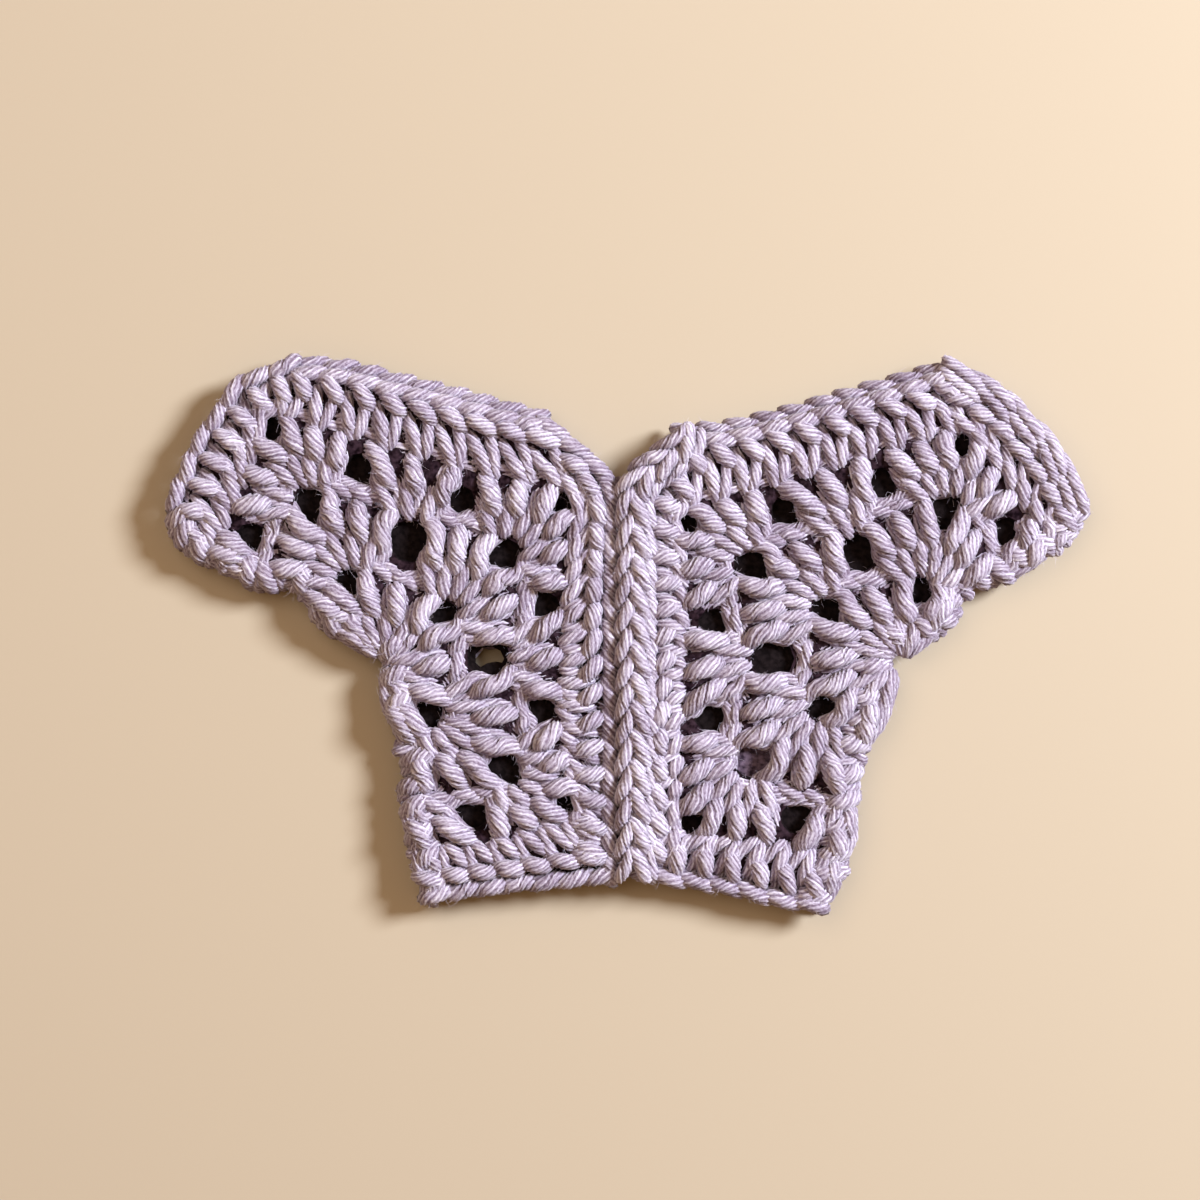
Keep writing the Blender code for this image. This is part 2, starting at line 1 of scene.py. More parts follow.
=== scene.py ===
"""Looks of the crocheted hexagon cardigan: each stitch is a strand of plied yarn.

The tables are in millimetres, in the same frame as the part's, before its small shift to the
centre. Right and left are the wearer's, so the right half is at -X.
"""

import math

import bpy
import numpy as np
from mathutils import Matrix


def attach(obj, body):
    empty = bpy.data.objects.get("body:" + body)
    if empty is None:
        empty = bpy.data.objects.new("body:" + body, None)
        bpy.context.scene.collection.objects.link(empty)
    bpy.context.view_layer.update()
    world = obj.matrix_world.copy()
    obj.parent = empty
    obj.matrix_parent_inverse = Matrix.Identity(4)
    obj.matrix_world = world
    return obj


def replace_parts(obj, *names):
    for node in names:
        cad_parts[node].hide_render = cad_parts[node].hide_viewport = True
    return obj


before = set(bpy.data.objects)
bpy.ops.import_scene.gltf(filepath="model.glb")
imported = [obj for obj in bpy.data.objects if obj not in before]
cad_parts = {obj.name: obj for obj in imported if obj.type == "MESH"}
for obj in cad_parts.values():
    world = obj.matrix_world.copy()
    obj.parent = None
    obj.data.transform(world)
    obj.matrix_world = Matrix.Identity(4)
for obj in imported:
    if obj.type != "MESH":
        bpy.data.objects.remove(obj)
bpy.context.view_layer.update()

# Metres to a millimetre, and the part's small shift to the centre in mm
MM = 0.001
SHIFT_X = 0.01
SHIFT_Y = -0.23

# The photo's frame: its width in pixels, mm to a pixel on the garment, and the pixel at the origin
PHOTO_WIDE = 1200
MM_PER_PIXEL = 0.21
ORIGIN_PIXEL_X = 627.5
ORIGIN_PIXEL_Y = 635.0
# The camera's height and the height at which that scale holds, in metres
CAMERA_HIGH = 0.62
SIGHT_HEIGHT = 0.006
SENSOR_WIDE = 36.0

# Heights of the layers: the back cloth's top, how far the back yarn comes out below, and the
# front layer's foot and thickness
BACK_TOP = 4.2
BACK_YARN_TOP = 2.5
FRONT_LOW = 4.5
FRONT_RISE = 5.0
# What the cloths keep of their solids' thickness, and how far the front one is raised
FILL_SHARE = 0.55
BACK_FILL_SHARE = 0.5
FILL_RAISED = 0.2

# Yarn: for each use of it, ridges of fibre round a strand, and mm along it for one turn
YARN = {
    "leg": (8, 13.5),
    "top": (8, 12.0),
    "wrap": (10, 12.0),
    "chain": (8, 10.5),
}
# Grooves between plies and inside them, as shares of the radius
GROOVES = (0.24, 0.12)
# Mm between the rings of a strand, and the ridges of a strand on the underside
FINE = 0.82
COARSE = 1.6
UNDERSIDE_RIDGES = 4
# Mm between changes of a strand's shape, how far it strays in mm, and how unevenly it twists
WAVER_STEP = 1.8
WAVER = 0.16
WAVER_TURN = 0.35
# Shares by which the twist of a strand and the size of a stitch vary
PITCH_SPREAD = 0.12
STITCH_SPREAD = 0.06
# How uneven crests and grooves are, as shares, and how light: mean, and change with either. Grooves
# are painted darker than crests, more where they cut deeper, as painted shade
CREST_UNEVEN = 0.07
GROOVE_UNEVEN = 0.5
CREST_SHADE = (0.78, 0.26)
GROOVE_PAINTED_SHADE = (0.42, 1.3)
# A strand's cut end: mm over which it rounds off, and the least square of its share of the radius
END_LONG = 0.9
END_LEAST = 0.09
# How much thinner the back layer's strands are
BACK_SCALE = 0.86
# Painted shade: how much darker the sides of a strand are than its top, where it lies against its
# neighbours, how fast that starts, and where it ends
SIDE_PAINTED_SHADE = 0.30
SIDE_START = 1.3
SIDE_END = -0.4
# Painted shade: how much darker a strand is deep in the front layer, from this height down to the
# layer's foot
DEPTH_PAINTED_SHADE = 0.20
DEPTH_FROM = 8.4
# Loose fibres: number for each mm of strand, points along one, width, shortest and longest, shade
HAIRS = 1.6
HAIR_POINTS = 4
HAIR_WIDE = 0.045
HAIR_LONG = (0.7, 2.3)
HAIR_SHADE = 0.62
# How steeply a fibre starts, how much it droops and strays, and how far it thins, as shares
HAIR_RISE = 0.7
HAIR_DROOP = 0.35
HAIR_STRAY = 0.5
HAIR_THIN = 0.6
# The range of the texture's random starts along a strand
TEXTURE_STARTS = 50.0

# Widths of the edges that the last round ends at
EDGE_WIDTH = {
    "right": {"cuff": 2.8, "shoulder": 2.4, "front": 3.0, "hem": 2.8},
    "left": {"cuff": 5.0, "shoulder": 2.4, "front": 6.7, "hem": 2.8},
}
# The gap between the last round and an edge
SEAM_GAP = 0.3

# Outline of each half, from the shoulder point round by the cuff, the fold and the hem: x, y of
# the points where each kind of edge starts and bends. It ends where the next kind starts
OUTLINES = {
    "right": {
        "shoulder": ((-17.3, 46.8), (-31.0, 50.4), (-43.6, 53.6), (-58.3, 57.3)),
        "cuff": ((-70.2, 58.6), (-82.4, 53.6), (-90.8, 41.8)),
        "fold": (
            (-97.5, 27.0), (-96.5, 20.8), (-91.5, 15.5), (-85.5, 13.0), (-78.0, 9.0),
            (-69.5, 8.8), (-67.6, 4.6), (-62.6, -0.4), (-53.6, -2.4), (-52.4, -8.0),
            (-50.6, -18.0), (-47.6, -23.2), (-48.6, -33.0), (-46.5, -45.2),
        ),
        "hem": ((-42.6, -56.4), (-26.8, -54.2), (-14.2, -53.1)),
        "front": ((-1.95, -51.8),),
        "neck": ((-1.95, 30.6), (-4.2, 35.3), (-10.6, 40.9)),
    },
    "left": {
        "shoulder": (
            (10.2, 43.9), (20.4, 44.6), (32.0, 47.3), (46.7, 51.5), (57.2, 54.6),
        ),
        "cuff": ((67.6, 57.9), (79.1, 51.6), (89.4, 41.4)),
        "fold": (
            (97.5, 27.6), (95.9, 22.5), (91.0, 17.6), (79.1, 10.2), (70.9, 8.6),
            (69.8, 3.6), (65.4, -0.8), (57.6, -3.4), (54.6, -9.5), (53.3, -17.0),
            (50.3, -25.0), (48.6, -37.2), (46.2, -49.4),
        ),
        "hem": ((41.0, -58.4), (32.0, -57.1), (19.4, -54.2)),
        "front": ((-1.25, -50.8),),
        "neck": ((-1.25, 30.6), (2.8, 36.2), (8.6, 40.6)),
    },
}

# Spaces of each hexagon: x, y, width, height, and 0 where a round ends on the fold
SPACES = {
    "right": {
        "centre": (-51.3, -5.6, 0.0, 0.0),
        "sleeve1": (-58.1, 11.1, 4.4, 3.6),
        "neck1": (-38.7, 4.0, 4.2, 4.0),
        "hem1": (-41.7, -16.2, 4.2, 4.6),
        "cuff2": (-75.5, 11.6, 0.0, 0.0),
        "sleeve2": (-66.5, 27.3, 4.4, 5.8),
        "top2": (-45.9, 19.7, 5.6, 5.6),
        "neck2": (-25.9, 16.6, 4.8, 4.6),
        "front2": (-29.1, -5.0, 6.2, 5.2),
        "hem2": (-25.9, -27.9, 5.2, 5.0),
        "side2": (-46.0, -32.4, 0.0, 0.0),
        "cuff3": (-78.9, 20.0, 4.6, 4.2),
        "sleeve3": (-74.4, 43.3, 4.2, 5.4),
        "top3a": (-55.8, 34.7, 4.8, 4.2),
        "top3b": (-35.4, 28.1, 4.2, 4.2),
        "neck3": (-13.5, 27.5, 4.4, 4.4),
        "front3a": (-17.5, 5.7, 4.2, 4.2),
        "front3b": (-18.4, -15.3, 4.6, 4.2),
        "hem3": (-12.9, -35.1, 4.2, 4.2),
        "bottom3": (-33.1, -37.6, 5.2, 4.2),
    },
    "left": {
        "centre": (56.8, -5.8, 0.0, 0.0),
        "sleeve1": (61.6, 8.8, 4.2, 4.2),
        "neck1": (42.3, 5.3, 5.0, 4.2),
        "hem1": (40.8, -14.7, 4.2, 4.2),
        "cuff2": (78.0, 12.4, 0.0, 0.0),
        "sleeve2": (66.7, 25.6, 4.4, 5.2),
        "top2": (48.6, 17.2, 5.0, 5.2),
        "neck2": (26.4, 14.5, 5.6, 4.6),
        "front2": (30.3, -5.0, 6.4, 4.8),
        "hem2": (26.4, -26.3, 5.6, 5.0),
        "side2": (47.2, -33.4, 0.0, 0.0),
        "cuff3": (79.5, 21.2, 4.2, 4.4),
        "sleeve3": (70.2, 39.5, 4.2, 4.2),
        "top3a": (53.0, 31.7, 4.2, 4.2),
        "top3b": (33.5, 26.0, 4.2, 4.2),
        "neck3": (12.9, 23.5, 4.2, 4.2),
        "front3a": (18.2, 2.1, 4.4, 4.2),
        "front3b": (17.5, -17.0, 4.4, 4.2),
        "hem3": (13.5, -39.3, 4.8, 4.2),
        "bottom3": (35.6, -38.4, 4.2, 4.2),
    },
}

# Where the first and third rounds meet the folds of sleeve and side
FOLD_ENDS = {
    "right": {"sleeve_fold1": (-68.0, 7.2), "sleeve_fold3": (-88.0, 15.6),
              "side_fold1": (-48.6, -22.4), "side_fold3": (-45.6, -44.1)},
    "left": {"sleeve_fold1": (70.0, 7.2), "sleeve_fold3": (88.6, 16.6),
             "side_fold1": (51.0, -23.1), "side_fold3": (46.4, -46.2)},
}

# Clusters of the front layer: the space they are worked into, the two spaces that their tops
# lie between, and how many posts show
CLUSTERS = (
    ("centre", "sleeve_fold1", "sleeve1", 2),
    ("centre", "sleeve1", "neck1", 3),
    ("centre", "neck1", "hem1", 3),
    ("centre", "hem1", "side_fold1", 2),
    ("sleeve1", "cuff2", "sleeve2", 3),
    ("sleeve1", "sleeve2", "top2", 3),
    ("neck1", "top2", "neck2", 3),
    ("neck1", "neck2", "front2", 3),
    ("hem1", "front2", "hem2", 3),
    ("hem1", "hem2", "side2", 3),
    ("cuff2", "sleeve_fold3", "cuff3", 2),
    ("sleeve2", "cuff3", "sleeve3", 3),
    ("sleeve2", "sleeve3", "top3a", 3),
    ("top2", "top3a", "top3b", 3),
    ("neck2", "top3b", "neck3", 3),
    ("neck2", "neck3", "front3a", 3),
    ("front2", "front3a", "front3b", 3),
    ("hem2", "front3b", "hem3", 3),
    ("hem2", "hem3", "bottom3", 3),
    ("side2", "bottom3", "side_fold3", 2),
)
# Rows of that table before this one are the first two rounds, and the others are the third
THIRD_ROUND = 10

# The solid fourth round is worked side by side over these places of the third
LAST_ROUND = (
    ("cuff", ("sleeve_fold3", "cuff3", "sleeve3")),
    ("shoulder", ("sleeve3", "top3a", "top3b", "neck3")),
    ("front", ("neck3", "front3a", "front3b", "hem3")),
    ("hem", ("hem3", "bottom3", "side_fold3")),
)

# Strand templates. Each row: share of the way from foot to head, mm to the left, height as a
# share of the layer, radius across, radius upwards
POST = {
    "side": (
        (0.02, 0.6, 0.06, 1.1, 1.1),
        (0.25, 1.6, 0.24, 1.35, 1.3),
        (0.55, 2.4, 0.26, 1.4, 1.35),
        (0.85, 2.0, 0.26, 1.4, 1.3),
        (1.05, 1.4, 0.14, 1.1, 1.1),
    ),
    "leg": (
        (-0.02, 0.1, 0.12, 1.1, 1.1),
        (0.05, 0.1, 0.36, 1.35, 1.35),
        (0.18, 0.45, 0.52, 1.45, 1.42),
        (0.34, 1.0, 0.54, 1.45, 1.42),
        (0.48, 1.4, 0.44, 1.42, 1.4),
        (0.60, 1.5, 0.28, 1.3, 1.2),
        (0.72, 1.3, 0.14, 1.2, 1.1),
    ),
    "under": (
        (0.00, -0.5, 0.06, 1.1, 1.1),
        (0.10, -0.8, 0.26, 1.35, 1.3),
        (0.30, -1.5, 0.34, 1.45, 1.35),
        (0.52, -1.9, 0.32, 1.45, 1.35),
        (0.80, -1.3, 0.24, 1.4, 1.3),
        (1.02, -0.8, 0.16, 1.2, 1.2),
    ),
    "wrap": (
        (0.38, -1.35, 0.18, 1.2, 1.2),
        (0.46, -1.1, 0.46, 1.6, 1.5),
        (0.57, -0.65, 0.66, 2.0, 1.75),
        (0.70, -0.05, 0.70, 2.12, 1.8),
        (0.84, 0.45, 0.60, 2.0, 1.7),
        (0.95, 0.8, 0.38, 1.5, 1.4),
        (1.03, 1.0, 0.16, 1.1, 1.1),
    ),
}
SHORT_POST = {
    "side": (
        (-0.10, 0.4, 0.06, 1.0, 1.0),
        (0.14, 1.2, 0.22, 1.3, 1.3),
        (0.50, 3.2, 0.24, 1.35, 1.3),
        (0.95, 3.4, 0.10, 1.1, 1.1),
    ),
    "leg": (
        (-0.12, -0.3, 0.16, 1.0, 1.0),
        (0.00, 0.1, 0.42, 1.35, 1.35),
        (0.18, 0.7, 0.60, 1.5, 1.45),
        (0.36, 1.3, 0.62, 1.52, 1.45),
        (0.54, 2.0, 0.46, 1.4, 1.35),
        (0.74, 2.3, 0.16, 1.1, 1.1),
    ),
    "under": (
        (-0.10, -1.0, 0.12, 1.0, 1.0),
        (0.03, -1.3, 0.44, 1.35, 1.3),
        (0.20, -1.7, 0.54, 1.45, 1.4),
        (0.46, -2.0, 0.46, 1.4, 1.35),
        (0.70, -1.6, 0.26, 1.2, 1.2),
    ),
    "wrap": (
        (0.50, -3.7, 0.20, 1.1, 1.1),
        (0.55, -3.1, 0.48, 1.5, 1.4),
        (0.64, -1.9, 0.70, 1.8, 1.6),
        (0.73, -0.6, 0.76, 1.85, 1.65),
        (0.83, 0.8, 0.62, 1.65, 1.5),
        (0.90, 1.8, 0.26, 1.1, 1.1),
    ),
}
# The strands of a post in the order they are laid, and the yarn of each
POST_STRANDS = (("side", "leg"), ("under", "leg"), ("leg", "leg"), ("wrap", "wrap"))
# A stitch that goes round a fold: mm in from the outline, mm along it, height, radii
FOLD_WRAP = (
    (6.6, -1.6, 5.6, 1.5, 1.3),
    (5.2, -1.2, 7.2, 2.0, 1.6),
    (3.4, -0.4, 7.4, 2.2, 1.6),
    (1.9, 0.5, 6.2, 2.1, 1.6),
    (1.6, 1.1, 4.2, 1.8, 1.5),
    (2.6, 1.4, 2.3, 1.5, 1.4),
    (4.2, 1.4, 1.7, 1.2, 1.2),
)
FOLD_LEG = (
    (7.4, 2.4, 5.2, 1.2, 1.2),
    (5.8, 2.2, 6.6, 1.4, 1.4),
    (3.6, 2.0, 6.6, 1.45, 1.4),
    (2.0, 2.4, 5.4, 1.45, 1.4),
    (1.5, 3.0, 3.6, 1.4, 1.4),
    (2.6, 3.2, 2.0, 1.3, 1.3),
)
# A chain stitch along an edge: share of a pitch along, mm outwards, height, radii
GRAIN = (
    (-0.28, 0.55, 0.10, 1.0, 1.0),
    (-0.08, 0.5, 0.36, 1.4, 1.35),
    (0.30, 0.15, 0.56, 1.62, 1.5),
    (0.72, -0.25, 0.54, 1.6, 1.5),
    (1.02, -0.5, 0.32, 1.3, 1.25),
    (1.18, -0.6, 0.12, 1.0, 1.0),
)
# A stitch of the raised ridge: share of a pitch along, mm outwards, height, radii
RIDGE_GRAIN = (
    (-0.45, 1.7, 0.14, 0.9, 0.9),
    (-0.15, 1.45, 0.42, 1.3, 1.25),
    (0.25, 0.75, 0.57, 1.5, 1.4),
    (0.65, -0.30, 0.59, 1.5, 1.4),
    (1.05, -1.15, 0.44, 1.35, 1.3),
    (1.32, -1.55, 0.14, 0.9, 0.9),
)
# A long strand of a smooth edge, laid almost along it
LONG_GRAIN = (
    (-0.45, 1.15, 0.12, 1.0, 1.0),
    (-0.15, 0.9, 0.42, 1.3, 1.25),
    (0.25, 0.4, 0.56, 1.45, 1.35),
    (0.75, -0.3, 0.56, 1.45, 1.35),
    (1.15, -0.8, 0.42, 1.3, 1.25),
    (1.45, -1.1, 0.12, 1.0, 1.0),
)
# Mm along an edge to a chain stitch, and to one of the long strands
CHAIN_PITCH = 6.0
LONG_PITCH = 8.5
# How far a chain goes past the ends of its line
END_REACH = 0.2
# A core strand's ends as shares of its line, and the points along it
CORE_ENDS = (0.01, 0.99)
CORE_POINTS = 12
# The loop at the head of a stitch in a cluster: mm to the left, mm beyond, height, radii
HEAD_LOOP = (
    (3.6, 1.9, 0.04, 1.0, 1.0),
    (2.4, 2.0, 0.24, 1.35, 1.3),
    (0.2, 1.5, 0.34, 1.5, 1.4),
    (-2.2, 0.7, 0.28, 1.4, 1.35),
    (-3.8, -0.1, 0.06, 1.0, 1.0),
)
# Strands under those loops: mm beyond the heads, height, mm past the end posts, and their radius
UNDER_LOOPS = ((3.2, 0.20, 0.8), (-0.6, 0.10, 0.4))
UNDER_RADIUS = 1.42
LOOP_PITCH = 5.0

# How far out of a space the tops of its round lie: at a corner, on a side of the inner rounds,
# on a side of the third round, and at a fold
CORNER_REACH = 4.4
SIDE_REACH = 5.5
OUTER_REACH = 6.8
FOLD_REACH = 1.5
CORNERS = ("sleeve1", "neck1", "hem1", "sleeve2", "neck2", "hem2", "sleeve3", "neck3", "hem3")
# Spaces where they lie closer
SHORT_REACH = {("right", "front3a"): 4.6, ("right", "front3b"): 4.6}
# How far the end posts of a cluster stay from the spaces beside it
CORNER_CLEAR = 1.9
SIDE_CLEAR = 3.0
# How far a foot stands outside its space's rim, and how widely feet are spread round it
RIM_STEP = 1.0
FOOT_SPREAD = 1.4
# The radius of the place where the posts start that are worked into a fold
FOLD_HUB = 1.0
# Mm to a post of the last round and to a stitch round a fold
HALF_POST_PITCH = 5.9
FOLD_PITCH = 5.6
# The last round goes this far past the third one's corner at the neck
NECK_ROUND_ABOVE = 10.0
# How far the back layer's yarn is shifted from the front's
BACK_SLIP = (2.6, -2.2)

# Strands go round the wells over the spaces: share of a strand's radius outside a well, and how
# sharply they turn. Below a height they stay further out, by so many radii at the floor
WELL_CLEAR = 0.62
WELL_POWER = 4.0
WELL_LOW = 7.4
WELL_HIDES = 2.2
# A well's size as a share of its space's, by round, and for single ones
WELL_GROWS = {"1": 1.02, "2": 1.10, "3": 0.82}
WELL_WIDER = {("right", "top2"): 1.2, ("right", "neck2"): 1.12, ("right", "neck1"): 1.15,
              ("left", "front2"): 1.12}
# How far a well is from an oval
WELL_BULGE = 0.2

# The front cloth's spaces are this much wider than the solids'
RIM_GROWS = 1.5
# How far the cloths stay inside the folds
CLOTH_INSET = 2.4
# Faces steeper than this are walls of spaces, painted near-black as painted shade: the upward part of
# a face's normal
WALL_SLOPE = 0.6
# A dark sheet of painted shade closes the back spaces: sides of a plug, mm past the space's rim, and
# height
PLUG_SIDES = 16
PLUG_MARGIN = 1.6
PLUG_HEIGHT = 4.3
# The space that shows the floor, and how far its plug is shifted to one side of it
OPEN_SPACE = ("right", "front2")
OPEN_SLIP = (1.4, -4.8)
# The spaces whose plug has the colour of yarn darkened by painted shade
YARN_BEHIND = (("left", "hem2"),)
# Back strands stay this far inside a fold: mm, mm past it that are still looked at, and the share
# of the way back that they are moved
FENCE = 3.0
FENCE_REACH = 9.0
FENCE_HOLDS = 0.9

# Curves: parts between two rows of a table, mm between points of an outline, mm between the rows
# that fill its long edges, and the share of a line over which its direction is taken
CURVE_PARTS = 12
OUTLINE_STEP = 2.0
OUTLINE_GAP = 6.0
AHEAD = 0.01

# Chains: mm between rings, stitch, and mm to a stitch
FRONT_CHAIN = (FINE, GRAIN, CHAIN_PITCH)
BACK_CHAIN = (COARSE, GRAIN, CHAIN_PITCH)
LONG_CHAIN = (FINE, LONG_GRAIN, LONG_PITCH)
RIDGE_CHAIN = (FINE, RIDGE_GRAIN, CHAIN_PITCH)
# Edges in the order they are made: name, chain, kinds of outline, its rows of chain and its cores.
# A row: mm in from the outline, foot, rise, lean, fatness. A core: mm in, height, radii
HEM_EDGE = ("hem_edge_front", FRONT_CHAIN, ("hem",), ((1.7, FRONT_LOW, 4.6, 1.2, 1.12),), ())
SHOULDER = (
    "shoulder_seam", FRONT_CHAIN, ("shoulder",),
    ((1.3, 1.6, 6.4, 1.8, 0.95), (3.5, FRONT_LOW, 5.6, 1.0, 1.05)), ((2.4, 4.2, 1.8, 1.8),))
BACK_EDGES = (
    ("cuff_edge_back", BACK_CHAIN, ("cuff",), ((1.6, -0.6, 4.6, 1.0, 1.0),), ()),
    ("hem_edge_back", BACK_CHAIN, ("hem",), ((1.2, -0.6, 4.6, 1.0, 1.0),), ()),
    ("back_neck_edge", BACK_CHAIN, ("neck",), ((1.6, -0.6, 4.6, 1.0, 1.0),), ()),
)
EDGES = {
    "right": (
        HEM_EDGE,
        SHOULDER,
        ("cuff_edge_front", FRONT_CHAIN, ("cuff",), ((1.6, FRONT_LOW, 5.0, 1.0, 1.08),), ()),
        ("front_band", FRONT_CHAIN, ("front", "neck"), ((1.8, FRONT_LOW, 4.6, 1.2, 1.08),), ()),
        *BACK_EDGES,
    ),
    "left": (
        HEM_EDGE,
        SHOULDER,
        ("cuff_edge_front", LONG_CHAIN, ("cuff",),
         ((1.6, FRONT_LOW, 7.2, 1.0, 1.05), (3.9, FRONT_LOW, 7.0, 1.0, 1.05)),
         ((2.7, 6.2, 2.2, 1.9),)),
        ("front_band", RIDGE_CHAIN, ("front", "neck"),
         ((1.1, FRONT_LOW, 8.6, 1.0, 1.0), (3.7, FRONT_LOW, 9.0, -1.0, 1.05),
          (5.9, FRONT_LOW, 6.6, -0.5, 0.95)),
         ((2.9, 7.0, 3.0, 2.2),)),
        *BACK_EDGES,
    ),
}
# The seam down the centre of the back: x, its top and foot, height of its foot, and rise
BACK_SEAM = {"x": -1.6, "top": 32.5, "foot": -50.0, "low": -0.4, "rise": 4.6}

# Colours of the yarn by shade, a value that carries painted shade from the relief as well as fibres
# and tone. The two ends come first, because a new ramp already has them
YARN_COLOURS = (
    (0.0, (0.080, 0.051, 0.087)),
    (1.0, (0.88, 0.868, 0.985)),
    (0.28, (0.186, 0.139, 0.214)),
    (0.52, (0.398, 0.354, 0.482)),
    (0.76, (0.675, 0.646, 0.798)),
)
YARN_SURFACE = {
    "Roughness": 0.78,
    "Specular IOR Level": 0.25,
    "Sheen Weight": 0.35,
    "Sheen Roughness": 0.45,
    "Sheen Tint": (0.85, 0.78, 0.92, 1.0),
}
# Fibres: turns of the noise for each mm along a strand, for each ridge round it, and their slant
FIBRES_ALONG = 1.7
FIBRES_ROUND = 3.8
FIBRES_SLANT = 0.5
FIBRE_NOISE = {"Scale": 1.0, "Detail": 6.0, "Roughness": 0.72, "Distortion": 0.5}
PATCH_NOISE = {"Scale": 90.0, "Detail": 2.0}
# The yarn's shade: its mean, and the weights of the relief's painted shade, fibres, strand and patch
SHADE_MEAN = 0.21
PAINTED_SHADE_WEIGHT = 0.64
FIBRE_WEIGHT = 1.35
STRAND_WEIGHT = 0.10
PATCH_WEIGHT = 0.25
YARN_BUMP = {"Strength": 0.7, "Distance": 0.00022}
# Painted shade: dark fabric behind the loops of each layer, and yarn darkened by painted shade on the
# plugs that show as yarn: name, darkest and lightest colour
PAINTED_SHADE_CLOTHS = {
    "front": ("fill_painted_shade", (0.006, 0.003, 0.005), (0.036, 0.021, 0.031)),
    "back": ("inside_painted_shade", (0.006, 0.0045, 0.0052), (0.015, 0.011, 0.0125)),
    "behind": ("back_yarn_painted_shade", (0.035, 0.024, 0.040), (0.17, 0.125, 0.19)),
}
INSIDE_SURFACE = {"Roughness": 0.95, "Specular IOR Level": 0.0}
INSIDE_NOISE = {"Scale": 900.0, "Detail": 3.0}
INSIDE_STOPS = (0.35, 0.65)
INSIDE_BUMP = {"Strength": 0.8, "Distance": 0.0003}
FLOOR_SURFACE = {
    "Base Color": (0.455, 0.392, 0.314, 1.0),
    "Roughness": 0.6,
    "Specular IOR Level": 0.25,
}
FLOOR_HALF = 3.0

# Lights on the garment: name, azimuth and elevation in degrees, metres away, metres across,
# watts, colour
LIGHTS = (
    ("key", 24.0, 38.0, 1.4, 0.44, 39.5, (0.935, 0.97, 1.0)),
    ("fill", 140.0, 60.0, 1.1, 0.9, 4.0, (1.0, 0.84, 0.66)),
)
WORLD_COLOUR = (1.0, 0.58, 0.25, 1.0)
WORLD_STRENGTH = 0.36

rng = np.random.default_rng(11)


# Plane geometry

def unit(v):
    """The direction of v, or zero where it has none."""
    size = math.hypot(v[0], v[1])
    return v / size if size > 1e-9 else np.zeros(2)


def left_of(v):
    return np.array([-v[1], v[0]])


def angle_between(a, b):
    """The angle in radians by which b is turned from a, anticlockwise above 0."""
    return math.atan2(a[0] * b[1] - a[1] * b[0], float(np.dot(a, b)))


def turned(v, angle):
    """A vector turned by an angle, anticlockwise above 0."""
    c, s = math.cos(angle), math.sin(angle)
    return np.array([c * v[0] - s * v[1], s * v[0] + c * v[1]])


def smooth(points, step):
    """A Catmull-Rom curve through rows of numbers that start with x, y and maybe z.

    Returns its points, a step of mm apart, and how far along it each lies.
    """
    p = np.asarray(points, float)
    if len(p) == 2:
        p = np.vstack([p[0], (p[0] + p[1]) / 2.0, p[1]])
    before = np.vstack([2.0 * p[0] - p[1], p[:-1]])
    after = np.vstack([p[1:], 2.0 * p[-1] - p[-2]])
    dense = []
    for i in range(len(p) - 1):
        a, b, c = before[i], p[i], p[i + 1]
        d = after[i + 1]
        for t in np.linspace(0.0, 1.0, CURVE_PARTS, endpoint=False):
            dense.append(0.5 * (2.0 * b + (c - a) * t + (2.0 * a - 5.0 * b + 4.0 * c - d) * t * t
                                + (3.0 * b - a - 3.0 * c + d) * t ** 3))
    dense.append(p[-1])
    dense = np.array(dense)
    place = dense[:, :3] if dense.shape[1] > 2 else dense
    gaps = np.linalg.norm(np.diff(place, axis=0), axis=1)
    run = np.concatenate([[0.0], np.cumsum(gaps)])
    count = max(3, int(round(run[-1] / step)) + 1)
    at = np.linspace(0.0, run[-1], count)
    return np.column_stack([np.interp(at, run, dense[:, k]) for k in range(dense.shape[1])]), at


def outline_run(side, kinds):
    """The smooth line of a half's outline along these kinds of edge, in the outline's order."""
    table = OUTLINES[side]
    order = list(table)
    after = order[(order.index(kinds[-1]) + 1) % len(order)]
    line = [point for kind in kinds for point in table[kind]]
    line.append(table[after][0])
    filled = []
    for a, b in zip(line[:-1], line[1:]):
        parts = max(1, int(math.dist(a, b) / OUTLINE_GAP))
        for k in range(parts):
            filled.append(tuple(np.array(a) + (np.array(b) - np.array(a)) * k / parts))
    filled.append(line[-1])
    return smooth(filled, OUTLINE_STEP)[0]


def moved_in(line, inward, middle):
    """The line moved towards the middle of its half by a distance in mm."""
    tangent = np.gradient(line, axis=0)
    tangent /= np.linalg.norm(tangent, axis=1)[:, None]
    normal = np.column_stack([-tangent[:, 1], tangent[:, 0]])
    centre = line[len(line) // 2]
    if np.dot(normal[len(line) // 2], middle - centre) < 0.0:
        normal = -normal
    return line + normal * inward


def run_length(line):
    return float(np.linalg.norm(np.diff(line, axis=0), axis=1).sum())


def along(line, share):
    """The point at a share of the length of a line."""
    gaps = np.linalg.norm(np.diff(line, axis=0), axis=1)
    run = np.concatenate([[0.0], np.cumsum(gaps)])
    return np.array([np.interp(share * run[-1], run, line[:, k]) for k in range(2)])


def heading(line, share):
    """The unit direction of a line at a share of its length."""
    return unit(along(line, min(1.0, share + AHEAD)) - along(line, max(0.0, share - AHEAD)))


# Yarn

def wander(at, columns):
    """Smooth random numbers from -1 to 1 along a strand, one column for each use."""
    count = max(3, int(math.ceil((at[-1] - at[0]) / WAVER_STEP)) + 1)
    knots = np.linspace(at[0], at[-1], count)
    values = rng.uniform(-1.0, 1.0, (count, columns))
    return np.column_stack([np.interp(at, knots, values[:, k]) for k in range(columns)])


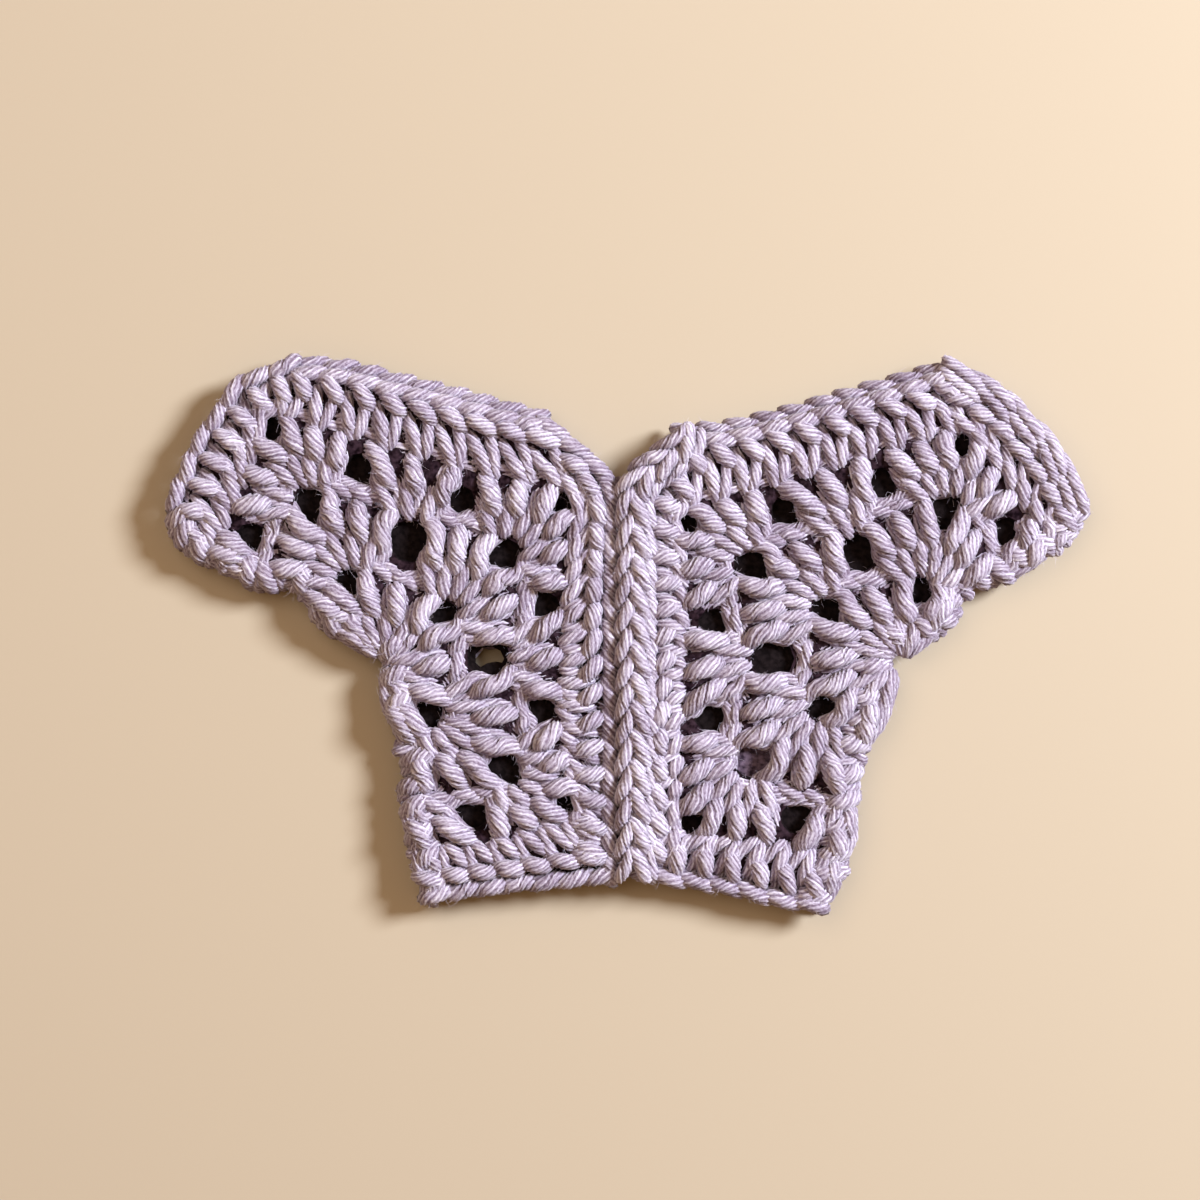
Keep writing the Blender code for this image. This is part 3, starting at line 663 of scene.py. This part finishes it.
def well_size(well, angle):
    """How far an uneven well reaches from its middle at an angle, in mm."""
    x, y, wide, high = well
    oval = np.hypot(wide * np.cos(angle), high * np.sin(angle)) / 2.0
    return oval * (1.0 + WELL_BULGE * np.cos(3.0 * angle + x + y))


class Skein:
    """Strands of plied yarn that become one mesh.

    The step is the mm between the rings of a strand. Strands go round the wells, rows of x, y,
    width and height, and stay inside the fence, points with the way in from each.
    """

    def __init__(self, name, step, wells=(), fence=None):
        self.name = name
        self.step = step
        self.wells = wells
        self.fence = fence
        self.points = []
        self.faces = []
        self.ends = []
        self.uvs = []
        self.tones = []
        self.shades = []
        self.count = 0

    def keep_clear(self, place, radii):
        """Moves the centre line of a strand out of the wells and back inside the fence."""
        for well in self.wells:
            off = place[:, :2] - np.array(well[:2])
            far = np.maximum(np.linalg.norm(off, axis=1), 1e-3)
            low_by = np.clip((WELL_LOW - place[:, 2]) / WELL_LOW, 0.0, 1.0)
            reach = well_size(well, np.arctan2(off[:, 1], off[:, 0]))
            reach = reach + (WELL_CLEAR + WELL_HIDES * low_by) * radii
            wanted = (far ** WELL_POWER + reach ** WELL_POWER) ** (1.0 / WELL_POWER)
            place[:, :2] += off * (wanted / far - 1.0)[:, None]
        if self.fence is not None:
            edge, inward = self.fence
            nearest = np.linalg.norm(place[:, None, :2] - edge[None], axis=2).argmin(axis=1)
            off = place[:, :2] - edge[nearest]
            inside = np.einsum("ij,ij->i", off, inward[nearest])
            beyond = (inside < 0.0) & (np.linalg.norm(off, axis=1) < FENCE_REACH)
            place[beyond, :2] -= (inside[:, None] * inward[nearest])[beyond] * FENCE_HOLDS

    def strand(self, rows, kind):
        """A strand along rows of x, y, z, radius across, radius upwards.

        Each second column of vertices is the crest of a ridge of fibre, and turns with the
        twist. No point goes below the floor.
        """
        ridges, pitch = YARN[kind]
        if self.step == COARSE:
            ridges = UNDERSIDE_RIDGES
        sides = 2 * ridges
        pitch = pitch * rng.uniform(1.0 - PITCH_SPREAD, 1.0 + PITCH_SPREAD)
        line, at = smooth(rows, self.step)
        place = line[:, :3] + WAVER * wander(at, 3)
        self.keep_clear(place, line[:, 3])
        tangent = np.gradient(place, axis=0)
        tangent /= np.maximum(np.linalg.norm(tangent, axis=1), 1e-6)[:, None]
        across = np.cross(tangent, np.array([0.0, 0.0, 1.0]))
        size = np.linalg.norm(across, axis=1)
        across[size < 1e-6] = (1.0, 0.0, 0.0)
        across /= np.maximum(size, 1e-6)[:, None]
        upward = np.cross(across, tangent)
        turn = 2.0 * math.pi * (at / pitch + rng.uniform(0.0, 1.0))
        turn = turn + WAVER_TURN * wander(at, 1)[:, 0]
        theta = turn[:, None] + 2.0 * math.pi * np.arange(sides)[None, :] / sides
        depth = np.where(np.arange(ridges) % 2 == 0, GROOVES[0], GROOVES[1])
        crest = wander(at, ridges)
        groove = wander(at, ridges)
        lobe = np.ones((len(at), sides))
        cut = depth[None, :] * (1.0 + GROOVE_UNEVEN * groove)
        lobe[:, 0::2] += CREST_UNEVEN * crest
        lobe[:, 1::2] -= cut
        # Painted shade: grooves darker than crests, sides darker than tops, and strands darker low in
        # the front layer
        shade = np.ones((len(at), sides))
        shade[:, 0::2] = CREST_SHADE[0] + CREST_SHADE[1] * crest
        shade[:, 1::2] = GROOVE_PAINTED_SHADE[0] - GROOVE_PAINTED_SHADE[1] * cut
        shade -= SIDE_PAINTED_SHADE * (1.0 - np.clip(np.sin(theta) * SIDE_START, SIDE_END, 1.0))
        deep = np.clip((DEPTH_FROM - place[:, 2]) / (DEPTH_FROM - FRONT_LOW), 0.0, 1.0)
        shade -= DEPTH_PAINTED_SHADE * deep[:, None]
        end = np.minimum(at, at[-1] - at)
        cut_off = 1.0 - np.clip(end / END_LONG, 0.0, 1.0)
        taper = np.sqrt(np.clip(1.0 - cut_off ** 2, END_LEAST, 1.0))
        wide = (line[:, 3] * taper)[:, None] * lobe
        high = (line[:, 4] * taper)[:, None] * lobe
        points = (
            place[:, None, :]
            + across[:, None, :] * (wide * np.cos(theta))[:, :, None]
            + upward[:, None, :] * (high * np.sin(theta))[:, :, None]
        )
        points[:, :, 2] = np.maximum(points[:, :, 2], 0.0)
        if self.step == FINE:
            self.hairs(points, place, tangent, at[-1], sides)
        rings = len(at)
        first = self.count
        last = first + (rings - 1) * sides
        ring = np.arange(rings - 1)[:, None] * sides
        k = np.arange(sides)[None, :]
        j = (k + 1) % sides
        quads = np.stack([ring + k, ring + j, ring + sides + j, ring + sides + k], axis=-1)
        u = at + rng.uniform(0.0, TEXTURE_STARTS)
        uv = np.zeros((rings - 1, sides, 4, 2))
        uv[:, :, 0:2, 0] = u[:-1, None, None]
        uv[:, :, 2:4, 0] = u[1:, None, None]
        uv[:, :, 0, 1] = uv[:, :, 3, 1] = np.arange(sides)[None, :] / 2.0
        uv[:, :, 1, 1] = uv[:, :, 2, 1] = (np.arange(sides)[None, :] + 1.0) / 2.0
        self.points.append(points.reshape(-1, 3))
        self.faces.append(quads.reshape(-1, 4) + first)
        self.ends.append(list(range(first, first + sides))[::-1])
        self.ends.append(list(range(last, last + sides)))
        self.uvs.append(uv.reshape(-1, 2))
        self.tones.append(np.full(rings * sides, rng.uniform(0.0, 1.0)))
        self.shades.append(shade.ravel())
        self.count += rings * sides

    def hairs(self, points, place, tangent, long, sides):
        """Loose fibres that stand off a strand, each a narrow ribbon that bends along it."""
        count = int(long * HAIRS)
        ring = rng.integers(1, len(place) - 1, count)
        column = rng.integers(0, sides, count)
        root = points[ring, column]
        away = root - place[ring]
        away /= np.maximum(np.linalg.norm(away, axis=1), 1e-6)[:, None]
        away[:, 2] = np.abs(away[:, 2])
        lean = rng.uniform(-1.0, 1.0, count)[:, None] * tangent[ring]
        stray = rng.uniform(-HAIR_STRAY, HAIR_STRAY, (count, 3))
        size = rng.uniform(*HAIR_LONG, count)[:, None]
        t = np.linspace(0.0, 1.0, HAIR_POINTS)[None, :, None]
        way = (away * HAIR_RISE + lean)[:, None, :] * t
        way = way + (stray - HAIR_DROOP * away)[:, None, :] * t * t
        middle = root[:, None, :] + way * size[:, None, :]
        aside = np.cross(way[:, -1, :], np.array([0.0, 0.0, 1.0]))
        aside /= np.maximum(np.linalg.norm(aside, axis=1), 1e-6)[:, None]
        half = 0.5 * HAIR_WIDE * (1.0 - HAIR_THIN * t) * aside[:, None, :]
        pair = np.stack([middle - half, middle + half], axis=2).reshape(-1, 3)
        pair[:, 2] = np.maximum(pair[:, 2], 0.0)
        first = self.count + np.arange(count)[:, None] * 2 * HAIR_POINTS
        step = first + 2 * np.arange(HAIR_POINTS - 1)[None, :]
        quads = np.stack([step, step + 1, step + 3, step + 2], axis=-1).reshape(-1, 4)
        self.points.append(pair)
        self.faces.append(quads)
        starts = rng.uniform(0.0, TEXTURE_STARTS, (len(quads), 1, 2))
        self.uvs.append(np.repeat(starts, 4, axis=1).reshape(-1, 2))
        self.tones.append(np.full(len(pair), 0.5))
        self.shades.append(np.full(len(pair), HAIR_SHADE))
        self.count += len(pair)

    def build(self, material):
        """The mesh of all strands, on the root body."""
        points = np.concatenate(self.points)
        points[:, 0] += SHIFT_X
        points[:, 1] += SHIFT_Y
        faces = np.concatenate(self.faces).tolist() + self.ends
        mesh = bpy.data.meshes.new(self.name)
        mesh.from_pydata((points * MM).tolist(), [], faces)
        uv = mesh.uv_layers.new(name="ply")
        coordinates = np.zeros((len(mesh.loops), 2))
        known = np.concatenate(self.uvs)
        coordinates[: len(known)] = known
        uv.data.foreach_set("uv", coordinates.ravel())
        for name, parts in (("tone", self.tones), ("shade", self.shades)):
            values = mesh.attributes.new(name, "FLOAT", "POINT")
            values.data.foreach_set("value", np.concatenate(parts).astype(np.float32))
        mesh.shade_smooth()
        mesh.materials.append(material)
        obj = bpy.data.objects.new(self.name, mesh)
        bpy.context.scene.collection.objects.link(obj)
        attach(obj, "root")
        return obj


def layer_height(share, layer):
    """The height at a share of a layer's thickness, from its inner to its outer face."""
    if layer == "front":
        return FRONT_LOW + FRONT_RISE * share
    return BACK_YARN_TOP * (1.0 - share)


def stitch(skein, foot, head, template, kind, layer):
    """One strand of a stitch laid out between its foot and its head."""
    reach = head - foot
    side = left_of(unit(reach))
    rows = []
    for share, left, up, wide, high in template:
        uneven = rng.uniform(1.0 - STITCH_SPREAD, 1.0 + STITCH_SPREAD)
        p = foot + reach * share + side * left
        scale = 1.0 if layer == "front" else BACK_SCALE
        z = layer_height(up, layer)
        rows.append((p[0], p[1], z, wide * uneven, high * scale * uneven))
    skein.strand(rows, kind)


def post(skein, foot, head, templates, layer):
    """All the strands of one post."""
    for name, kind in POST_STRANDS:
        stitch(skein, foot, head, templates[name], kind, layer)


def space_at(side, name):
    """The middle of a space, or where a round ends on a fold."""
    table = SPACES[side] if name in SPACES[side] else FOLD_ENDS[side]
    return np.array(table[name][:2])


def radius(side, name):
    """The mean radius of a space, 0 at a fold."""
    row = SPACES[side].get(name, (0.0, 0.0, 0.0, 0.0))
    return (row[2] + row[3]) / 4.0


def round_top(side, name):
    """Where the tops of a round pass a space, out of it from the centre of the hexagon."""
    here = space_at(side, name)
    if name in CORNERS:
        reach = CORNER_REACH
    elif radius(side, name) == 0.0:
        reach = FOLD_REACH
    else:
        reach = SHORT_REACH.get((side, name), OUTER_REACH if "3" in name else SIDE_REACH)
    return here + unit(here - space_at(side, "centre")) * reach


def cluster_posts(side, row):
    """Foot and head of each post of a cluster."""
    base, start, end, count = row
    a = round_top(side, start)
    b = round_top(side, end)
    hub = space_at(side, base)
    outward = unit(hub - space_at(side, "centre"))
    clear_a = CORNER_CLEAR + radius(side, start) if start in CORNERS else SIDE_CLEAR
    clear_b = CORNER_CLEAR + radius(side, end) if end in CORNERS else SIDE_CLEAR
    long = math.dist(a, b)
    posts = []
    for k in range(count):
        share = k / (count - 1)
        head = a + (b - a) * (clear_a + (long - clear_a - clear_b) * share) / long
        way = unit(head - hub)
        if base != "centre":
            way = turned(outward, FOOT_SPREAD * angle_between(outward, way))
        foot = hub + way * (max(radius(side, base), FOLD_HUB) + RIM_STEP)
        posts.append((foot, head))
    return posts


def middle_of(side):
    """A point well inside a half, which says which way in is."""
    return space_at(side, "neck1")


def last_round_posts(side, kind, names):
    """Foot and head of each post of the last round along one edge."""
    inner = np.array([round_top(side, name) for name in names])
    kinds = ("front", "neck") if kind == "front" else (kind,)
    inward = EDGE_WIDTH[side][kind] + SEAM_GAP
    outer = moved_in(outline_run(side, kinds), inward, middle_of(side))
    if kind == "front":
        outer = outer[outer[:, 1] < round_top(side, "neck3")[1] + NECK_ROUND_ABOVE]
    if math.dist(outer[0], inner[0]) > math.dist(outer[-1], inner[0]):
        outer = outer[::-1]
    count = round(run_length(outer) / HALF_POST_PITCH)
    return [
        (along(inner, (k + 0.5) / count), along(outer, (k + 0.5) / count))
        for k in range(count)
    ]


def fold_fence(side):
    """Points inside the folds of a half, and the way in from each."""
    line = moved_in(outline_run(side, ("fold",)), FENCE, middle_of(side))
    ahead = np.gradient(line, axis=0)
    inward = np.column_stack([-ahead[:, 1], ahead[:, 0]])
    inward /= np.linalg.norm(inward, axis=1)[:, None]
    return line, inward if side == "right" else -inward


def wells_of(side, slip):
    """The wells over a half's spaces, shifted by slip."""
    wells = []
    for space, (x, y, wide, high) in SPACES[side].items():
        if wide > 0.0:
            turn = next(digit for digit in WELL_GROWS if digit in space)
            grows = WELL_GROWS[turn] * WELL_WIDER.get((side, space), 1.0)
            wells.append((x + slip[0], y + slip[1], grows * wide, grows * high))
    return wells


def panel_yarn(side, layer, step, part):
    """The yarn of a part of one layer of a half: inner rounds, third round, solid border or all."""
    slip = np.array(BACK_SLIP if layer == "back" else (0.0, 0.0))
    fence = fold_fence(side) if layer == "back" else None
    name = f"{side}_{layer}_yarn" if part == "all" else f"{side}_{layer}_{part}_yarn"
    skein = Skein(name, step, wells_of(side, slip), fence)
    clusters = {
        "all": CLUSTERS,
        "rounds": CLUSTERS[:THIRD_ROUND],
        "third": CLUSTERS[THIRD_ROUND:],
        "border": (),
    }
    for row in clusters[part]:
        posts = [(foot + slip, head + slip) for foot, head in cluster_posts(side, row)]
        for foot, head in posts:
            post(skein, foot, head, POST, layer)
        a, b = round_top(side, row[1]) + slip, round_top(side, row[2]) + slip
        across = unit(b - a)
        out = left_of(across)
        if np.dot(out, a - space_at(side, "centre") - slip) < 0.0:
            out = -out
        count = round(math.dist(a, b) / LOOP_PITCH)
        for k in range(count):
            here = a + (b - a) * (k + 0.5) / count
            rows = []
            for left, beyond, up, wide, high in HEAD_LOOP:
                p = here + left_of(out) * left + out * beyond
                rows.append((p[0], p[1], layer_height(up, layer), wide, high))
            skein.strand(rows, "top")
        for beyond, up, past in UNDER_LOOPS:
            rows = [
                (*(p + out * beyond), layer_height(up, layer), UNDER_RADIUS, UNDER_RADIUS)
                for p in (a - across * past, (a + b) / 2.0, b + across * past)
            ]
            skein.strand(rows, "top")
    if part in ("border", "all"):
        for kind, names in LAST_ROUND:
            for foot, head in last_round_posts(side, kind, names):
                post(skein, foot, head, SHORT_POST, layer)
    if part == "border":
        fold_posts(skein, side)
    return skein


def fold_posts(skein, side):
    """Stitches that go round the folds of the sleeve and the side, from the front to the back."""
    line = outline_run(side, ("fold",))
    count = round(run_length(line) / FOLD_PITCH)
    way = 1.0 if side == "right" else -1.0
    for k in range(count):
        t = (k + 0.5) / count
        here = along(line, t)
        ahead = heading(line, t)
        inward = left_of(ahead) * way
        for template, kind in ((FOLD_LEG, "leg"), (FOLD_WRAP, "wrap")):
            rows = []
            for far, on, z, wide, high in template:
                p = here + inward * far + ahead * on * way
                rows.append((p[0], p[1], z, wide, high))
            skein.strand(rows, kind)


def chain(skein, line, middle, base, rise, lean=1.0, fat=1.0, grain=GRAIN, pitch=CHAIN_PITCH):
    """Slanted chain strands one after another along a line."""
    long = run_length(line)
    count = max(2, round(long / pitch))
    for k in range(count):
        rows = []
        for share, out, up, wide, high in grain:
            t = (k + share) / count
            inside = min(1.0, max(0.0, t))
            here = along(line, inside)
            ahead = heading(line, inside)
            normal = left_of(ahead)
            if np.dot(normal, middle - here) > 0.0:
                normal = -normal
            past = min(END_REACH, max(-END_REACH, (t - inside) * long))
            p = here + normal * out * lean + ahead * past
            rows.append((p[0], p[1], base + rise * up, wide * fat, high * fat))
        skein.strand(rows, "chain")


def core(skein, line, z, across, up):
    """A plain strand that fills the inside of an edge of several columns."""
    rows = [(*along(line, t), z, across, up) for t in np.linspace(*CORE_ENDS, CORE_POINTS)]
    skein.strand(rows, "chain")


# Materials

def new_material(name):
    material = bpy.data.materials.new(name)
    material.use_nodes = True
    return material, material.node_tree.nodes, material.node_tree.links


def set_inputs(node, values):
    for name, value in values.items():
        node.inputs[name].default_value = value


def add_noise(nodes, links, vector, values):
    """A noise texture at a vector. Returns its output from 0 to 1."""
    noise = nodes.new("ShaderNodeTexNoise")
    set_inputs(noise, values)
    links.new(vector, noise.inputs["Vector"])
    return noise.outputs["Fac"]


def add_bump(nodes, links, height, values, shader):
    bump = nodes.new("ShaderNodeBump")
    set_inputs(bump, values)
    links.new(height, bump.inputs["Height"])
    links.new(bump.outputs["Normal"], shader.inputs["Normal"])


def yarn_material():
    """Plied wool: ply grooves darker than crests by painted shade, and fine fibres along the plies.
    """
    material, nodes, links = new_material("yarn")
    shader = nodes["Principled BSDF"]
    set_inputs(shader, YARN_SURFACE)
    uv = nodes.new("ShaderNodeUVMap")
    uv.uv_map = "ply"
    split = nodes.new("ShaderNodeSeparateXYZ")
    links.new(uv.outputs["UV"], split.inputs["Vector"])

    def maths(operation, a, b):
        node = nodes.new("ShaderNodeMath")
        node.operation = operation
        for socket, source in zip(node.inputs, (a, b)):
            if isinstance(source, float):
                socket.default_value = source
            else:
                links.new(source, socket)
        return node.outputs[0]

    def swing(source, weight):
        """A value from 0 to 1 as a change to either side of 0."""
        return maths("MULTIPLY", maths("SUBTRACT", source, 0.5), weight)

    along_strand = split.outputs["X"]
    round_strand = maths("MULTIPLY", split.outputs["Y"], FIBRES_ROUND)
    slanted = maths("ADD", round_strand, maths("MULTIPLY", along_strand, FIBRES_SLANT))
    fibre_at = nodes.new("ShaderNodeCombineXYZ")
    links.new(maths("MULTIPLY", along_strand, FIBRES_ALONG), fibre_at.inputs["X"])
    links.new(slanted, fibre_at.inputs["Y"])
    fibres = add_noise(nodes, links, fibre_at.outputs["Vector"], FIBRE_NOISE)
    tone = nodes.new("ShaderNodeAttribute")
    tone.attribute_name = "tone"
    painted_relief_shade = nodes.new("ShaderNodeAttribute")
    painted_relief_shade.attribute_name = "shade"
    where = nodes.new("ShaderNodeTexCoord")
    patch = add_noise(nodes, links, where.outputs["Object"], PATCH_NOISE)
    ramp = nodes.new("ShaderNodeValToRGB")
    stops = ramp.color_ramp.elements
    for index, (position, colour) in enumerate(YARN_COLOURS):
        stop = stops[index] if index < 2 else stops.new(position)
        stop.position = position
        stop.color = (*colour, 1.0)
    # The relief attribute carries painted shade of grooves, sides and depth
    shade = maths("MULTIPLY", painted_relief_shade.outputs["Fac"], PAINTED_SHADE_WEIGHT)
    shade = maths("ADD", shade, swing(fibres, FIBRE_WEIGHT))
    shade = maths("ADD", shade, SHADE_MEAN)
    shade = maths("ADD", shade, swing(tone.outputs["Fac"], STRAND_WEIGHT))
    shade = maths("ADD", shade, swing(patch, PATCH_WEIGHT))
    links.new(shade, ramp.inputs["Fac"])
    links.new(ramp.outputs["Color"], shader.inputs["Base Color"])
    add_bump(nodes, links, fibres, YARN_BUMP, shader)
    return material


def painted_shade_material(name, dark, light):
    """Painted shade: dark fabric behind the loops, which only shows between them."""
    material, nodes, links = new_material(name)
    shader = nodes["Principled BSDF"]
    set_inputs(shader, INSIDE_SURFACE)
    where = nodes.new("ShaderNodeTexCoord")
    grain = add_noise(nodes, links, where.outputs["Object"], INSIDE_NOISE)
    ramp = nodes.new("ShaderNodeValToRGB")
    for stop, position, colour in zip(ramp.color_ramp.elements, INSIDE_STOPS, (dark, light)):
        stop.color = (*colour, 1.0)
        stop.position = position
    links.new(grain, ramp.inputs["Fac"])
    links.new(ramp.outputs["Color"], shader.inputs["Base Color"])
    add_bump(nodes, links, grain, INSIDE_BUMP, shader)
    return material


def floor_material():
    material, nodes, _ = new_material("floor")
    set_inputs(nodes["Principled BSDF"], FLOOR_SURFACE)
    return material


# Base cloth

def widened(here, side):
    """A point of the front cloth moved out from the spaces near it."""
    for x, y, wide, high in SPACES[side].values():
        off = here - np.array([x, y])
        gap = max(math.hypot(off[0], off[1]), 1e-3)
        if wide > 0.0 and gap < wide + high:
            mean = (wide + high) / 4.0
            near = max(0.0, 1.0 - max(0.0, gap / mean - 1.0))
            here = here + off / gap * (RIM_GROWS - 1.0) * mean * near
    return here


def base_cloth(side, layer, material, other):
    """A thin shell on the solid's own form, with its spaces, behind the yarn, coloured with painted
    shade.

    The other material is painted shade for the front's space walls and the back's plugs that show as
    yarn.
    """
    node = f"{side}_{layer}"
    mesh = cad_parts[node].data.copy()
    mesh.name = node + "_cloth"
    line = outline_run(side, ("fold",))
    inner = moved_in(line, CLOTH_INSET, middle_of(side))
    for vertex in mesh.vertices:
        here = np.array([vertex.co.x / MM - SHIFT_X, vertex.co.y / MM - SHIFT_Y])
        far = np.linalg.norm(line - here, axis=1)
        nearest = int(far.argmin())
        if far[nearest] < CLOTH_INSET:
            here = inner[nearest]
        z = vertex.co.z / MM
        if layer == "front":
            here = widened(here, side)
            z = FRONT_LOW + FILL_RAISED + (z - FRONT_LOW) * FILL_SHARE
        else:
            z = BACK_TOP - (BACK_TOP - z) * BACK_FILL_SHARE
        vertex.co = ((here[0] + SHIFT_X) * MM, (here[1] + SHIFT_Y) * MM, z * MM)
    coloured = []
    if layer == "back":
        mesh, coloured = with_plugs(mesh, side)
    mesh.materials.clear()
    mesh.materials.append(material)
    mesh.materials.append(other)
    if layer == "front":
        # Painted shade: the front's space walls get the near-black material
        coloured = [face.index for face in mesh.polygons if abs(face.normal.z) < WALL_SLOPE]
    for index in coloured:
        mesh.polygons[index].material_index = 1
    obj = bpy.data.objects.new(node + "_cloth", mesh)
    bpy.context.scene.collection.objects.link(obj)
    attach(obj, "root")
    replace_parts(obj, node)
    return obj


def with_plugs(mesh, side):
    """The back cloth with its spaces closed by plugs of painted shade, and which faces show as yarn
    darkened by painted shade.
    """
    points = [tuple(v.co) for v in mesh.vertices]
    faces = [tuple(p.vertices) for p in mesh.polygons]
    coloured = []
    for name, (x, y, wide, high) in SPACES[side].items():
        if wide == 0.0:
            continue
        if (side, name) == OPEN_SPACE:
            x, y = x + OPEN_SLIP[0], y + OPEN_SLIP[1]
        first = len(points)
        for k in range(PLUG_SIDES):
            angle = 2.0 * math.pi * k / PLUG_SIDES
            px = x + SHIFT_X + (wide / 2.0 + PLUG_MARGIN) * math.cos(angle)
            py = y + SHIFT_Y + (high / 2.0 + PLUG_MARGIN) * math.sin(angle)
            points.append((px * MM, py * MM, PLUG_HEIGHT * MM))
        if (side, name) in YARN_BEHIND:
            coloured.append(len(faces))
        faces.append(tuple(range(first, first + PLUG_SIDES)))
    closed = bpy.data.meshes.new(mesh.name + "_closed")
    closed.from_pydata(points, [], faces)
    return closed, coloured


# Building

def add_cloths(side, yarn, shade_cloths):
    """The cloth and the yarn of both layers of a half."""
    for layer in ("front", "back"):
        # The front's space walls take the near-black painted shade, the back's plugs the yarn
        # darkened by painted shade
        other = shade_cloths["back" if layer == "front" else "behind"]
        cloth = base_cloth(side, layer, shade_cloths[layer], other)
        step = FINE if layer == "front" else COARSE
        parts = ("rounds", "third", "border") if layer == "front" else ("all",)
        pieces = [panel_yarn(side, layer, step, part).build(yarn) for part in parts]


def add_edge(side, row, yarn):
    """One edge of a half, from a row of the table of edges."""
    name, (step, grain, pitch), kinds, chains, cores = row
    middle = middle_of(side)
    skein = Skein(f"{side}_{name}_yarn", step)
    line = outline_run(side, kinds)
    for inward, base, rise, lean, fat in chains:
        chain(skein, moved_in(line, inward, middle), middle, base, rise, lean, fat, grain, pitch)
    for inward, z, across, up in cores:
        core(skein, moved_in(line, inward, middle), z, across, up)
    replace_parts(skein.build(yarn), f"{side}_{name}")


def build():
    yarn = yarn_material()
    shade_cloths = {layer: painted_shade_material(*row) for layer, row in PAINTED_SHADE_CLOTHS.items()}
    for side in ("right", "left"):
        add_cloths(side, yarn, shade_cloths)
        for row in EDGES[side]:
            add_edge(side, row, yarn)
    skein = Skein("back_seam_yarn", COARSE)
    seam = BACK_SEAM
    line = smooth([(seam["x"], seam["top"]), (seam["x"], seam["foot"])], OUTLINE_STEP)[0]
    chain(skein, line, middle_of("left"), seam["low"], seam["rise"])
    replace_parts(skein.build(yarn), "back_seam")


def set_stage():
    mesh = bpy.data.meshes.new("floor")
    corners = [(x * FLOOR_HALF, y * FLOOR_HALF, 0.0) for x, y in ((-1, -1), (1, -1), (1, 1), (-1, 1))]
    mesh.from_pydata(corners, [], [(0, 1, 2, 3)])
    mesh.materials.append(floor_material())
    floor = bpy.data.objects.new("floor", mesh)
    bpy.context.scene.collection.objects.link(floor)

    world = bpy.data.worlds.new("studio")
    bpy.context.scene.world = world
    world.use_nodes = True
    sky = {"Color": WORLD_COLOUR, "Strength": WORLD_STRENGTH}
    set_inputs(world.node_tree.nodes["Background"], sky)
    bpy.context.scene.view_settings.view_transform = "Standard"

    for name, azimuth, elevation, far, size, power, colour in LIGHTS:
        light = bpy.data.lights.new(name, "AREA")
        light.shape = "DISK"
        light.size = size
        light.energy = power
        light.color = colour
        obj = bpy.data.objects.new(name, light)
        bpy.context.scene.collection.objects.link(obj)
        a = math.radians(azimuth)
        e = math.radians(elevation)
        way = (math.cos(a) * math.cos(e), math.sin(a) * math.cos(e), math.sin(e))
        obj.location = far * np.array(way)
        obj.rotation_euler = (math.pi / 2.0 - e, 0.0, a + math.pi / 2.0)

    camera = bpy.data.cameras.new("camera")
    view = bpy.data.objects.new("camera", camera)
    bpy.context.scene.collection.objects.link(view)
    wide = PHOTO_WIDE * MM_PER_PIXEL * MM
    camera.sensor_width = SENSOR_WIDE
    camera.lens = SENSOR_WIDE * (CAMERA_HIGH - SIGHT_HEIGHT) / wide
    centre_x = (PHOTO_WIDE / 2.0 - ORIGIN_PIXEL_X) * MM_PER_PIXEL + SHIFT_X
    centre_y = (ORIGIN_PIXEL_Y - PHOTO_WIDE / 2.0) * MM_PER_PIXEL + SHIFT_Y
    view.location = (centre_x * MM, centre_y * MM, CAMERA_HIGH)
    bpy.context.scene.camera = view


build()
set_stage()
bpy.context.view_layer.update()
